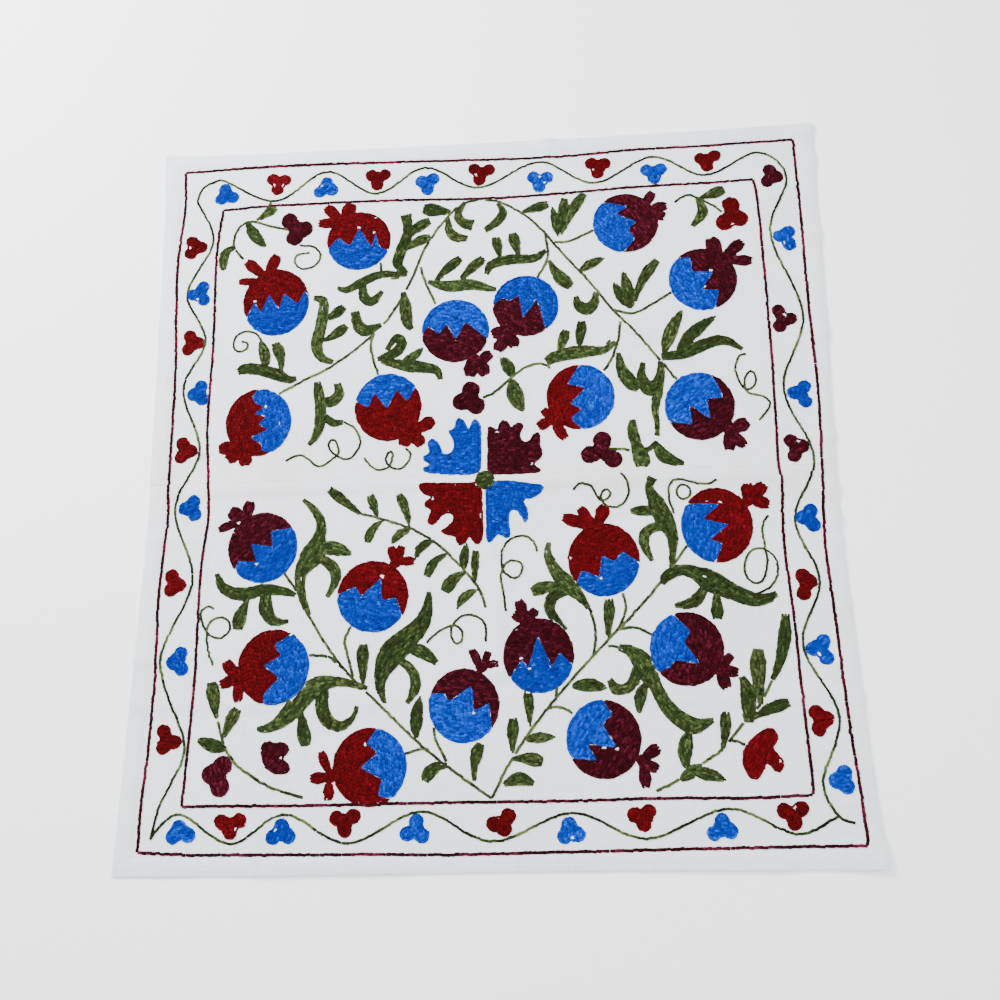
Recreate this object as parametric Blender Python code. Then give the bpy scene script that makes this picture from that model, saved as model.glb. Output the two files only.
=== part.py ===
"""Suzani: an embroidered cotton cloth, sewn from two loom-width panels.

The cloth lies face up on a level surface. X runs across it, Y runs up its face and Z points out
of the surface, with the origin under the middle of the cloth. The tables below are in
centimetres along the cloth and in millimetres out of it.
"""

import math
from collections import namedtuple

import bmesh
import bpy

CM = 0.01
MM = 0.001

# The flat rectangle that the outline below bends a little, and the seam that joins the panels
# just below its middle. Touching pieces stay a hair apart.
HALF_WIDTH = 44.5
HALF_HEIGHT = 48.4
SEAM_Y = -0.2
GAP = 0.03

# Cloth thickness: single in the field, doubled in the hem and over the seam allowance.
CLOTH_THICK = 1.2
DOUBLED_THICK = 2.3
FOLDED_EDGE_THICK = 1.5
HEM_WIDTH = 2.2
SEAM_ALLOWANCE = 2.0
STEP_WIDTH = 0.4
FOLD_ROUND = 0.3
CORNER_ROUND = 0.35

# The mesh: how far apart its rows and columns are, and the least rise that is modelled.
ROW_PITCH = 2.5
COLUMN_PITCH = 3.2
MARGIN_DEPTH = 7.0
MARGIN_PITCH = 1.7
CLOSEST_LINES = 0.45
STEEPEST_ACROSS = 3.0
FLAT_BELOW = 0.06
SHARP_ANGLE = 40.0

COTTON_COLOUR = (0.80, 0.82, 0.84, 1.0)
COTTON_ROUGHNESS = 0.9

# Outline: the side edges as (y, x) and the top and bottom edges as (x, y).
LEFT_EDGE = (
    (-48.6, -45.15), (-40.0, -44.8), (-30.0, -44.5), (-15.0, -44.1), (-5.0, -43.8),
    (5.0, -44.0), (15.0, -44.1), (30.0, -44.4), (40.0, -44.6), (48.6, -45.1),
)
RIGHT_EDGE = (
    (-48.6, 45.15), (-45.0, 45.0), (-35.0, 44.4), (-20.0, 43.95), (-5.0, 43.55),
    (10.0, 44.0), (20.0, 44.35), (40.0, 44.7), (48.6, 44.9),
)
TOP_EDGE = (
    (-45.0, 48.65), (-40.0, 48.2), (-30.0, 48.05), (0.0, 48.0), (15.0, 48.1),
    (30.0, 48.3), (45.0, 48.65),
)
BOTTOM_EDGE = (
    (-45.0, -48.5), (-15.0, -48.5), (0.0, -48.45), (15.0, -48.4), (40.0, -48.65), (45.0, -48.6),
)

# Soft ridges, each from one point to another, with its rise at the start and at the end.
Ridge = namedtuple("Ridge", "name x0 y0 x1 y1 rise_start rise_end half_width")
RIDGES = [Ridge(*row) for row in (
    ("seam, left half", -43.8, -0.3, -6.0, -0.4, 0.9, 0.5, 1.3),
    ("seam, right half", 6.0, -0.4, 43.5, -0.3, 0.5, 1.1, 1.3),
    ("storage crease, left", -44.4, -28.3, 0.0, -28.4, 1.8, 0.7, 0.9),
    ("storage crease, right", 0.0, -28.4, 44.2, -28.9, 0.7, 2.2, 0.9),
    ("upright crease", 0.7, -9.5, 0.9, -25.5, 0.9, 1.8, 0.9),
    ("pucker under the maroon fruits", -0.8, -25.4, 3.6, -24.6, 1.6, 2.0, 0.9),
    ("slanting ridge over the middle", -9.5, 15.5, -4.5, 8.5, 0.8, 2.2, 1.2),
    ("pucker right of the middle", 5.0, 12.4, 7.8, 11.0, 1.4, 1.8, 0.9),
    ("short crease, lower left", -25.5, -15.4, -18.0, -15.6, 1.0, 1.2, 0.8),
    ("left margin, low", -44.5, -22.9, -36.5, -23.1, 2.6, 0.8, 1.0),
    ("left margin, middle", -44.0, -7.8, -37.0, -7.6, 2.2, 0.6, 0.9),
    ("left margin, high", -44.3, 22.0, -40.0, 22.4, 1.6, 0.4, 1.5),
    ("right margin, top", 44.8, 42.6, 39.5, 42.2, 2.8, 0.5, 1.1),
    ("right margin, under the top", 44.6, 31.7, 38.5, 31.6, 3.0, 0.5, 1.0),
    ("right margin, upper third", 44.3, 17.6, 39.5, 17.4, 2.6, 0.4, 1.1),
    ("right margin, over the seam", 43.9, 3.6, 38.0, 2.6, 3.2, 0.8, 1.0),
    ("right margin, under the seam", 43.7, -3.4, 37.5, -2.6, 3.4, 0.9, 1.0),
    ("right margin, mid low", 43.7, -7.1, 38.8, -6.6, 2.8, 0.5, 0.9),
    ("right margin, lower third", 43.8, -10.4, 39.2, -10.1, 2.4, 0.4, 0.9),
    ("pinch in the top margin", 8.8, 48.0, 8.4, 43.5, 3.2, 0.5, 1.1),
    ("bottom hem, left", -27.0, -48.4, -12.0, -48.4, 1.6, 0.8, 1.6),
    ("bottom hem, right", 18.0, -48.4, 33.0, -48.6, 0.8, 2.2, 1.7),
    ("lifted corner, bottom right", 44.6, -48.0, 41.5, -46.5, 6.0, 1.5, 2.4),
    ("lifted corner, top right", 44.6, 48.2, 42.8, 47.0, 2.6, 0.5, 1.8),
)]


def follow(table, at):
    """Read a smooth curve through a table of (position, value) rows."""
    last = len(table) - 2
    row = min(max(sum(at > position for position, _ in table) - 1, 0), last)
    slopes = []
    for knot in (row, row + 1):
        before, after = table[max(knot - 1, 0)], table[min(knot + 1, last + 1)]
        slopes.append((after[1] - before[1]) / (after[0] - before[0]))
    (start, low), (end, high) = table[row], table[row + 1]
    span = end - start
    t = min(max((at - start) / span, 0.0), 1.0)
    ease = t * t * (3.0 - 2.0 * t)
    bend = span * (slopes[0] * t * (1.0 - t) ** 2 - slopes[1] * t * t * (1.0 - t))
    return low + (high - low) * ease + bend


def smooth_step(value, low, high):
    """Go softly from 0 below low to 1 above high."""
    t = min(max((value - low) / (high - low), 0.0), 1.0)
    return t * t * (3.0 - 2.0 * t)


def rise_of(ridge, x, y):
    """How far one soft ridge lifts the cloth at a point, in millimetres."""
    run_x, run_y = ridge.x1 - ridge.x0, ridge.y1 - ridge.y0
    t = ((x - ridge.x0) * run_x + (y - ridge.y0) * run_y) / (run_x ** 2 + run_y ** 2)
    t = min(max(t, 0.0), 1.0)
    away = math.hypot(x - ridge.x0 - t * run_x, y - ridge.y0 - t * run_y)
    crest = ridge.rise_start + t * (ridge.rise_end - ridge.rise_start)
    return crest * math.exp(-(away / ridge.half_width) ** 2)


def lift(x, y):
    """Height of the underside over the surface, in millimetres; zero where the cloth lies flat."""
    total = sum(rise_of(ridge, x, y) for ridge in RIDGES)
    return total if total > FLAT_BELOW else 0.0


def thickness(x, y):
    """Cloth thickness, in millimetres: single, doubled, or rounded off at a folded edge."""
    from_edge = min(
        x - follow(LEFT_EDGE, y),
        follow(RIGHT_EDGE, y) - x,
        follow(TOP_EDGE, x) - y,
        y - follow(BOTTOM_EDGE, x),
    )
    under_seam = SEAM_Y - y
    hem = 1.0 - smooth_step(from_edge, HEM_WIDTH - STEP_WIDTH, HEM_WIDTH)
    allowance = 0.0
    if under_seam > 0.0:
        allowance = 1.0 - smooth_step(under_seam, SEAM_ALLOWANCE - STEP_WIDTH, SEAM_ALLOWANCE)
    thick = CLOTH_THICK + (DOUBLED_THICK - CLOTH_THICK) * max(hem, allowance)
    round_off = 1.0 - smooth_step(min(from_edge, abs(under_seam)), 0.0, FOLD_ROUND)
    return thick + (min(FOLDED_EDGE_THICK, thick) - thick) * round_off


def stations(low, high, pitch, kept):
    """Rows or columns of the mesh: the kept ones, with even steps of about the pitch between."""
    marks = [low]
    for mark in sorted(kept) + [high]:
        steps = max(1, round((mark - marks[-1]) / pitch))
        start = marks[-1]
        marks += [start + (mark - start) * step / steps for step in range(1, steps + 1)]
    return marks


def folded_edge(edge, inward, doubled_width):
    """The stations that a folded edge needs: its round and the step at its inner side."""
    inner = (FOLD_ROUND, doubled_width - STEP_WIDTH, doubled_width)
    return [edge + inward * offset for offset in inner]


def crease_stations(low, high, taken, upright):
    """Rows along the ridges that run across the cloth, or columns along the upright ones.

    Each ridge gets a line on its crest and one at each side, where no other line is close.
    """
    wanted = set()
    for ridge in RIDGES:
        run_x, run_y = abs(ridge.x1 - ridge.x0), abs(ridge.y1 - ridge.y0)
        along, across = (run_y, run_x) if upright else (run_x, run_y)
        if along > STEEPEST_ACROSS * across:
            middle = 0.5 * (ridge.x0 + ridge.x1) if upright else 0.5 * (ridge.y0 + ridge.y1)
            wanted.update(middle + side * ridge.half_width for side in (-1.0, 0.0, 1.0))
    kept = []
    for line in sorted(wanted):
        if all(abs(line - other) > CLOSEST_LINES for other in taken + kept + [low, high]):
            if low < line < high:
                kept.append(line)
    return kept


def place(x, y):
    """Move a point of the plain rectangle onto the real outline, keeping the seam straight."""
    side, side_edge = (HALF_WIDTH, RIGHT_EDGE) if x > 0.0 else (-HALF_WIDTH, LEFT_EDGE)
    rim, rim_edge = (HALF_HEIGHT, TOP_EDGE) if y > SEAM_Y else (-HALF_HEIGHT, BOTTOM_EDGE)
    placed_x = x + x / side * (follow(side_edge, y) - side)
    placed_y = y + (y - SEAM_Y) / (rim - SEAM_Y) * (follow(rim_edge, x) - rim)
    if x == side and y == rim:
        placed_x -= math.copysign(CORNER_ROUND, x)
        placed_y -= math.copysign(CORNER_ROUND, y)
    return placed_x, placed_y


def panel_columns():
    """Columns of a panel: wide steps in the field, narrow ones in the margins and hems."""
    margin = HALF_WIDTH - MARGIN_DEPTH
    right = stations(margin, HALF_WIDTH, MARGIN_PITCH, folded_edge(HALF_WIDTH, -1.0, HEM_WIDTH))
    left = [-x for x in reversed(right)]
    creases = crease_stations(-margin, margin, [], upright=True)
    field = stations(-margin, margin, COLUMN_PITCH, creases)
    return left + field[1:-1] + right


def panel_rows(seam, rim):
    """Rows of a panel: even steps, with rows of their own at its edges and its creases."""
    inward = -math.copysign(1.0, rim)
    edge_rows = folded_edge(rim, inward, HEM_WIDTH)
    if rim < seam:
        edge_rows += folded_edge(seam, -1.0, SEAM_ALLOWANCE)
    low, high = sorted((seam, rim))
    creases = crease_stations(low, high, edge_rows, upright=False)
    return stations(low, high, ROW_PITCH, edge_rows + creases)


def add_panel(name, seam, rim, material):
    """Model one panel: lay out its underside as a grid, then extrude it to its thickness."""
    columns, rows = panel_columns(), panel_rows(seam, rim)
    bm = bmesh.new()
    bmesh.ops.create_grid(bm, x_segments=len(columns) - 1, y_segments=len(rows) - 1, size=0.5)
    for vert in bm.verts:
        x = columns[round((vert.co.x + 0.5) * (len(columns) - 1))]
        y = rows[round((vert.co.y + 0.5) * (len(rows) - 1))]
        x, y = place(x, y)
        vert.co = (x * CM, y * CM, lift(x, y) * MM)
    raised = bmesh.ops.extrude_face_region(bm, geom=bm.faces[:])["geom"]
    for vert in raised:
        if isinstance(vert, bmesh.types.BMVert):
            vert.co.z += thickness(vert.co.x / CM, vert.co.y / CM) * MM
    bmesh.ops.recalc_face_normals(bm, faces=bm.faces[:])

    mesh = bpy.data.meshes.new(name)
    bm.to_mesh(mesh)
    bm.free()
    mesh.materials.append(material)
    mesh.shade_smooth()
    mesh.set_sharp_from_angle(angle=math.radians(SHARP_ANGLE))
    panel = bpy.data.objects.new(name, mesh)
    bpy.context.scene.collection.objects.link(panel)
    return panel


def cotton():
    """Undyed hand-loomed cotton."""
    material = bpy.data.materials.new("cotton_cloth")
    material.use_nodes = True
    shader = material.node_tree.nodes["Principled BSDF"]
    shader.inputs["Base Color"].default_value = COTTON_COLOUR
    shader.inputs["Roughness"].default_value = COTTON_ROUGHNESS
    shader.inputs["Metallic"].default_value = 0.0
    return material


def main():
    for leftover in list(bpy.data.objects):
        bpy.data.objects.remove(leftover)
    material = cotton()
    add_panel("panel_upper", SEAM_Y + GAP / 2, HALF_HEIGHT, material)
    add_panel("panel_lower", SEAM_Y - GAP / 2, -HALF_HEIGHT, material)


main()
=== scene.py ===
# %% [markdown]
# # An embroidered suzani
#
# A suzani is a wedding cloth: narrow strips of home-woven cotton are sewn edge to edge, then
# pomegranates, leaves and borders are filled in with rows of chain stitch in dyed yarn.
# This lesson lays such a cloth out on a pale floor, face up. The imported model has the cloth's
# folds and its outline, and the same tables here give it a finer surface. Every stitch is a small
# loop of yarn.
#
# Tables are in centimetres across the cloth and in millimetres out of it.

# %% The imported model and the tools
import math
from collections import namedtuple

import bmesh
import bpy
import numpy as np
from mathutils import Matrix, Vector


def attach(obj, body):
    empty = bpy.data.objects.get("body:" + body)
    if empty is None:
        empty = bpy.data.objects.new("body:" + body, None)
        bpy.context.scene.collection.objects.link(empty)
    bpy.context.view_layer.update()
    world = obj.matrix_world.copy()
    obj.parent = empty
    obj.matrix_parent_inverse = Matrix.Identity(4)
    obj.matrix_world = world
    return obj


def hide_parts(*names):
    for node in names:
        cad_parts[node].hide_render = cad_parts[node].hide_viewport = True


CM = 0.01
MM = 0.001

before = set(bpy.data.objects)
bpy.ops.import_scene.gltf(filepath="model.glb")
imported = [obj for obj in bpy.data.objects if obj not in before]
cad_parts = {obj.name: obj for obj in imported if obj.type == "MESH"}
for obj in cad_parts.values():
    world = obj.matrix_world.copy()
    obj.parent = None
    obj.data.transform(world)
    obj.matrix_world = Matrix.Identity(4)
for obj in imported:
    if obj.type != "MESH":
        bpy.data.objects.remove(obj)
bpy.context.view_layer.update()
print("nodes:", sorted(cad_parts))

# %% [markdown]
# ## The camera
#
# The picture is taken from above the lower edge, looking down over the middle of the cloth, so
# that the far edge comes out a little narrower than the near one. A camera looks along its own
# -Z, with +Y up in the picture: three directions make its rotation.

# %% Camera
EYE = (10.19, -43.52, 139.79)
GAZE = Vector((-0.0595, 0.2745, -0.9597))
UP_IN_PICTURE = Vector((0.0309, 0.9615, 0.2731))
LENS = 41.4


def add_camera():
    """Stand the camera over the lower edge and aim it down at the cloth."""
    back = -GAZE.normalized()
    right = UP_IN_PICTURE.cross(back).normalized()
    turn = Matrix((right, back.cross(right), back)).transposed().to_4x4()
    data = bpy.data.cameras.new("over_the_cloth")
    data.lens = LENS
    camera = bpy.data.objects.new("over_the_cloth", data)
    camera.matrix_world = Matrix.Translation(Vector(EYE) * CM) @ turn
    bpy.context.scene.collection.objects.link(camera)
    bpy.context.scene.camera = camera


add_camera()

# %% [markdown]
# ## Floor and light
#
# The cloth lies on a floor that is nearly white. Large lamps give soft light. The strongest one
# stands up and to the left, so each crease gets a light side and a dark side, and each stitch a
# small shadow. A grid of one face is all that a floor needs.

# %% Floor, lamps and sky
FLOOR_HALF = 400.0
FLOOR_BELOW = 0.3
FLOOR_COLOUR = (0.97, 0.97, 0.97, 1.0)
SKY_COLOUR = (0.93, 0.96, 1.0, 1.0)
SKY_STRENGTH = 1.3

Lamp = namedtuple("Lamp", "name x y z size watts")
LAMPS = [Lamp(*row) for row in (
    ("key_upper_left", -140.0, 120.0, 130.0, 80.0, 110.0),
    ("fill_right", 150.0, -20.0, 190.0, 160.0, 24.0),
    ("fill_above", 0.0, 10.0, 260.0, 180.0, 46.0),
)]


def add_floor():
    """One big pale face just under the cloth."""
    bm = bmesh.new()
    bmesh.ops.create_grid(bm, x_segments=1, y_segments=1, size=FLOOR_HALF * CM)
    bmesh.ops.translate(bm, verts=bm.verts[:], vec=(0.0, 0.0, -FLOOR_BELOW * MM))
    mesh = bpy.data.meshes.new("floor")
    bm.to_mesh(mesh)
    bm.free()
    material = bpy.data.materials.new("pale_floor")
    material.use_nodes = True
    shader = material.node_tree.nodes["Principled BSDF"]
    shader.inputs["Base Color"].default_value = FLOOR_COLOUR
    shader.inputs["Roughness"].default_value = 0.85
    mesh.materials.append(material)
    floor = bpy.data.objects.new("floor", mesh)
    bpy.context.scene.collection.objects.link(floor)


def add_lamp(lamp):
    """A square lamp that looks at the middle of the cloth."""
    data = bpy.data.lights.new(lamp.name, "AREA")
    data.energy = lamp.watts
    data.size = lamp.size * CM
    place = Vector((lamp.x, lamp.y, lamp.z)) * CM
    light = bpy.data.objects.new(lamp.name, data)
    light.matrix_world = Matrix.Translation(place) @ (-place).to_track_quat("-Z", "Y").to_matrix().to_4x4()
    bpy.context.scene.collection.objects.link(light)


add_floor()
for lamp in LAMPS:
    add_lamp(lamp)
sky = bpy.data.worlds.new("sky")
sky.use_nodes = True
sky.node_tree.nodes["Background"].inputs["Color"].default_value = SKY_COLOUR
sky.node_tree.nodes["Background"].inputs["Strength"].default_value = SKY_STRENGTH
bpy.context.scene.world = sky

# %% [markdown]
# ## The cloth's form
#
# The two panels were cut by eye and washed, so their edges wander by a few millimetres. Storage
# left creases in them, the margins ripple where the border stitches drew the cotton in, and one
# corner lifts. A short table says where each ridge runs and how high it stands; a function adds
# them up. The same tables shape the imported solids, so the fine cloth lies on the same folds.

# %% Outline and ridges of the cloth
HALF_WIDTH = 44.5
HALF_HEIGHT = 48.4
SEAM_Y = -0.2
GAP = 0.03
CLOTH_THICK = 1.2
DOUBLED_THICK = 2.3
FOLDED_EDGE_THICK = 1.5
HEM_WIDTH = 2.2
SEAM_ALLOWANCE = 2.0
STEP_WIDTH = 0.4
FOLD_ROUND = 0.3
CORNER_ROUND = 0.35

# The side edges as (y, x) and the top and bottom edges as (x, y).
LEFT_EDGE = (
    (-48.6, -45.15), (-40.0, -44.8), (-30.0, -44.5), (-15.0, -44.1), (-5.0, -43.8),
    (5.0, -44.0), (15.0, -44.1), (30.0, -44.4), (40.0, -44.6), (48.6, -45.1),
)
RIGHT_EDGE = (
    (-48.6, 45.15), (-45.0, 45.0), (-35.0, 44.4), (-20.0, 43.95), (-5.0, 43.55),
    (10.0, 44.0), (20.0, 44.35), (40.0, 44.7), (48.6, 44.9),
)
TOP_EDGE = (
    (-45.0, 48.65), (-40.0, 48.2), (-30.0, 48.05), (0.0, 48.0), (15.0, 48.1),
    (30.0, 48.3), (45.0, 48.65),
)
BOTTOM_EDGE = (
    (-45.0, -48.5), (-15.0, -48.5), (0.0, -48.45), (15.0, -48.4), (40.0, -48.65), (45.0, -48.6),
)

Ridge = namedtuple("Ridge", "name x0 y0 x1 y1 rise_start rise_end half_width")
RIDGES = [Ridge(*row) for row in (
    ("seam, left half", -43.8, -0.3, -6.0, -0.4, 0.9, 0.5, 1.3),
    ("seam, right half", 6.0, -0.4, 43.5, -0.3, 0.5, 1.1, 1.3),
    ("storage crease, left", -44.4, -28.3, 0.0, -28.4, 1.8, 0.7, 0.9),
    ("storage crease, right", 0.0, -28.4, 44.2, -28.9, 0.7, 2.2, 0.9),
    ("upright crease", 0.7, -9.5, 0.9, -25.5, 0.9, 1.8, 0.9),
    ("pucker under the maroon fruits", -0.8, -25.4, 3.6, -24.6, 1.6, 2.0, 0.9),
    ("slanting ridge over the middle", -9.5, 15.5, -4.5, 8.5, 0.8, 2.2, 1.2),
    ("pucker right of the middle", 5.0, 12.4, 7.8, 11.0, 1.4, 1.8, 0.9),
    ("short crease, lower left", -25.5, -15.4, -18.0, -15.6, 1.0, 1.2, 0.8),
    ("left margin, low", -44.5, -22.9, -36.5, -23.1, 2.6, 0.8, 1.0),
    ("left margin, middle", -44.0, -7.8, -37.0, -7.6, 2.2, 0.6, 0.9),
    ("left margin, high", -44.3, 22.0, -40.0, 22.4, 1.6, 0.4, 1.5),
    ("right margin, top", 44.8, 42.6, 39.5, 42.2, 2.8, 0.5, 1.1),
    ("right margin, under the top", 44.6, 31.7, 38.5, 31.6, 3.0, 0.5, 1.0),
    ("right margin, upper third", 44.3, 17.6, 39.5, 17.4, 2.6, 0.4, 1.1),
    ("right margin, over the seam", 43.9, 3.6, 38.0, 2.6, 3.2, 0.8, 1.0),
    ("right margin, under the seam", 43.7, -3.4, 37.5, -2.6, 3.4, 0.9, 1.0),
    ("right margin, mid low", 43.7, -7.1, 38.8, -6.6, 2.8, 0.5, 0.9),
    ("right margin, lower third", 43.8, -10.4, 39.2, -10.1, 2.4, 0.4, 0.9),
    ("pinch in the top margin", 8.8, 48.0, 8.4, 43.5, 3.2, 0.5, 1.1),
    ("bottom hem, left", -27.0, -48.4, -12.0, -48.4, 1.6, 0.8, 1.6),
    ("bottom hem, right", 18.0, -48.4, 33.0, -48.6, 0.8, 2.2, 1.7),
    ("lifted corner, bottom right", 44.6, -48.0, 41.5, -46.5, 6.0, 1.5, 2.4),
    ("lifted corner, top right", 44.6, 48.2, 42.8, 47.0, 2.6, 0.5, 1.8),
)]

# %% Reading the outline and the folds


def follow(table, at):
    """Read a smooth curve through a table of (position, value) rows, for many positions."""
    spots, values = np.array(table).T
    count = len(spots)
    before = np.maximum(np.arange(count) - 1, 0)
    after = np.minimum(np.arange(count) + 1, count - 1)
    slopes = (values[after] - values[before]) / (spots[after] - spots[before])
    row = np.clip(np.searchsorted(spots, at) - 1, 0, count - 2)
    span = spots[row + 1] - spots[row]
    t = np.clip((at - spots[row]) / span, 0.0, 1.0)
    ease = t * t * (3.0 - 2.0 * t)
    bend = span * (slopes[row] * t * (1.0 - t) ** 2 - slopes[row + 1] * t * t * (1.0 - t))
    return values[row] + (values[row + 1] - values[row]) * ease + bend


def smooth_step(value, low, high):
    """Go softly from 0 below low to 1 above high."""
    t = np.clip((value - low) / (high - low), 0.0, 1.0)
    return t * t * (3.0 - 2.0 * t)


def from_edge(x, y):
    """Distance from the nearest outer edge of the cloth."""
    sides = np.minimum(x - follow(LEFT_EDGE, y), follow(RIGHT_EDGE, y) - x)
    return np.minimum(sides, np.minimum(follow(TOP_EDGE, x) - y, y - follow(BOTTOM_EDGE, x)))


# Fine ripples that are too low for the solids: (rise in mm, wavelength in cm, direction in degrees).
RIPPLES = ((0.16, 9.5, 20.0), (0.13, 6.3, 105.0), (0.10, 4.1, 62.0), (0.07, 2.9, 150.0), (0.05, 2.1, 10.0))
MARGIN_RIPPLES = ((0.30, 5.3, 84.0), (0.20, 3.4, 97.0), (0.12, 2.3, 75.0))
MARGIN_STARTS = 7.5
MARGIN_FULL = 3.0


def waves(table, x, y):
    """A sum of straight waves that never goes below zero."""
    total = 0.0
    for number, (rise, length, direction) in enumerate(table):
        angle = math.radians(direction)
        along = x * math.cos(angle) + y * math.sin(angle)
        drift = 0.9 * np.sin(0.13 * (y - x) + number) + 0.6 * np.sin(0.31 * x + 2.0 * number)
        total = total + rise * (0.5 + 0.5 * np.sin(2.0 * math.pi * along / length + drift))
    return total


def lift(x, y):
    """Height of the underside over the floor, in millimetres."""
    total = waves(RIPPLES, x, y)
    margin = 1.0 - smooth_step(from_edge(x, y), MARGIN_FULL, MARGIN_STARTS)
    total = total + margin * waves(MARGIN_RIPPLES, x, y)
    for ridge in RIDGES:
        run_x, run_y = ridge.x1 - ridge.x0, ridge.y1 - ridge.y0
        t = ((x - ridge.x0) * run_x + (y - ridge.y0) * run_y) / (run_x ** 2 + run_y ** 2)
        t = np.clip(t, 0.0, 1.0)
        away = np.hypot(x - ridge.x0 - t * run_x, y - ridge.y0 - t * run_y)
        crest = ridge.rise_start + t * (ridge.rise_end - ridge.rise_start)
        total = total + crest * np.exp(-(away / ridge.half_width) ** 2)
    return total


def thickness(x, y):
    """Cloth thickness in millimetres: single, doubled, or rounded off at a folded edge."""
    edge = from_edge(x, y)
    under_seam = SEAM_Y - y
    hem = 1.0 - smooth_step(edge, HEM_WIDTH - STEP_WIDTH, HEM_WIDTH)
    allowance = 1.0 - smooth_step(under_seam, SEAM_ALLOWANCE - STEP_WIDTH, SEAM_ALLOWANCE)
    allowance = np.where(under_seam > 0.0, allowance, 0.0)
    thick = CLOTH_THICK + (DOUBLED_THICK - CLOTH_THICK) * np.maximum(hem, allowance)
    round_off = 1.0 - smooth_step(np.minimum(edge, np.abs(under_seam)), 0.0, FOLD_ROUND)
    return thick + (np.minimum(FOLDED_EDGE_THICK, thick) - thick) * round_off


def cloth_top(x, y):
    """Height of the face of the cloth over the floor, in millimetres."""
    return lift(x, y) + thickness(x, y)


# %% [markdown]
# ## The two panels
#
# Each panel is a grid laid out like its threads, one line every five millimetres, with extra
# lines where the cloth turns under or a crease runs. Extruding the whole grid upwards makes the
# closed sheet. Its points are then placed by array: onto the wandering outline, down to the
# folds and up to the thickness of the cloth.

# %% Panels
THREAD_LINES = 0.55
HEM_OFFSETS = (0.1, 0.3, 1.0, HEM_WIDTH - STEP_WIDTH, HEM_WIDTH - 0.2, HEM_WIDTH)
SEAM_OFFSETS = (0.1, 0.3, SEAM_ALLOWANCE - STEP_WIDTH, SEAM_ALLOWANCE - 0.2, SEAM_ALLOWANCE)


def stations(low, high, kept):
    """Grid lines between two edges: the kept ones, with even steps between them."""
    marks = [low]
    for mark in sorted(kept) + [high]:
        start = marks[-1]
        steps = max(1, round((mark - start) / THREAD_LINES))
        marks += [start + (mark - start) * step / steps for step in range(1, steps + 1)]
    return np.array(marks)


def place_on_outline(x, y):
    """Move points of the plain rectangle onto the real outline, keeping the seam straight."""
    side = np.where(x > 0.0, HALF_WIDTH, -HALF_WIDTH)
    side_edge = np.where(x > 0.0, follow(RIGHT_EDGE, y), follow(LEFT_EDGE, y))
    rim = np.where(y > SEAM_Y, HALF_HEIGHT, -HALF_HEIGHT)
    rim_edge = np.where(y > SEAM_Y, follow(TOP_EDGE, x), follow(BOTTOM_EDGE, x))
    corner = (np.abs(x) == HALF_WIDTH) & (np.abs(y) == HALF_HEIGHT)
    placed_x = x + x / side * (side_edge - side)
    placed_y = y + (y - SEAM_Y) / (rim - SEAM_Y) * (rim_edge - rim)
    placed_x = placed_x - np.where(corner, CORNER_ROUND * np.sign(x), 0.0)
    placed_y = placed_y - np.where(corner, CORNER_ROUND * np.sign(y), 0.0)
    return placed_x, placed_y


def add_panel(name, seam, rim):
    """One loom-width panel of cotton, from the seam to its hemmed rim."""
    inward = -math.copysign(1.0, rim)
    across = [side * (HALF_WIDTH - offset) for side in (-1.0, 1.0) for offset in HEM_OFFSETS]
    columns = stations(-HALF_WIDTH, HALF_WIDTH, across)
    kept = [rim + inward * offset for offset in HEM_OFFSETS]
    kept += [seam - inward * offset for offset in (SEAM_OFFSETS if rim < seam else SEAM_OFFSETS[:2])]
    rows = stations(min(seam, rim), max(seam, rim), kept)

    bm = bmesh.new()
    bmesh.ops.create_grid(bm, x_segments=len(columns) - 1, y_segments=len(rows) - 1, size=0.5)
    raised = bmesh.ops.extrude_face_region(bm, geom=bm.faces[:])["geom"]
    face_side = [part for part in raised if isinstance(part, bmesh.types.BMVert)]
    bmesh.ops.translate(bm, verts=face_side, vec=(0.0, 0.0, 1.0))
    bmesh.ops.recalc_face_normals(bm, faces=bm.faces[:])
    mesh = bpy.data.meshes.new(name)
    bm.to_mesh(mesh)
    bm.free()

    points = np.empty(3 * len(mesh.vertices))
    mesh.vertices.foreach_get("co", points)
    points = points.reshape(-1, 3)
    column = np.round((points[:, 0] + 0.5) * (len(columns) - 1)).astype(int)
    row = np.round((points[:, 1] + 0.5) * (len(rows) - 1)).astype(int)
    x, y = place_on_outline(columns[column], rows[row])
    on_face = points[:, 2] > 0.5
    z = lift(x, y) + np.where(on_face, thickness(x, y), 0.0)
    mesh.vertices.foreach_set("co", np.column_stack([x * CM, y * CM, z * MM]).ravel())
    mesh.shade_smooth()
    mesh.set_sharp_from_angle(angle=math.radians(50.0))
    panel = bpy.data.objects.new(name, mesh)
    bpy.context.scene.collection.objects.link(panel)
    print(name, len(columns), "by", len(rows), "lines")
    return panel


upper_cloth = add_panel("upper_cloth", SEAM_Y + GAP / 2, HALF_HEIGHT)
lower_cloth = add_panel("lower_cloth", SEAM_Y - GAP / 2, -HALF_HEIGHT)

# %% [markdown]
# ## One chain stitch
#
# Chain stitch is a row of loops: the needle comes up inside the last loop and draws the yarn
# through, so each stitch looks like a small drop, its two sides lying close together. One drop
# is made here and copied thousands of times, so it has few faces: each side is a ball of four
# faces round and three long, drawn out into a spindle and bent. Later the copies are placed by
# array, which is far quicker than an object for each stitch.

# %% The loop of yarn
ROW = 0.26
LINK = 0.62
OVERLAP = 1.24

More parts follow.
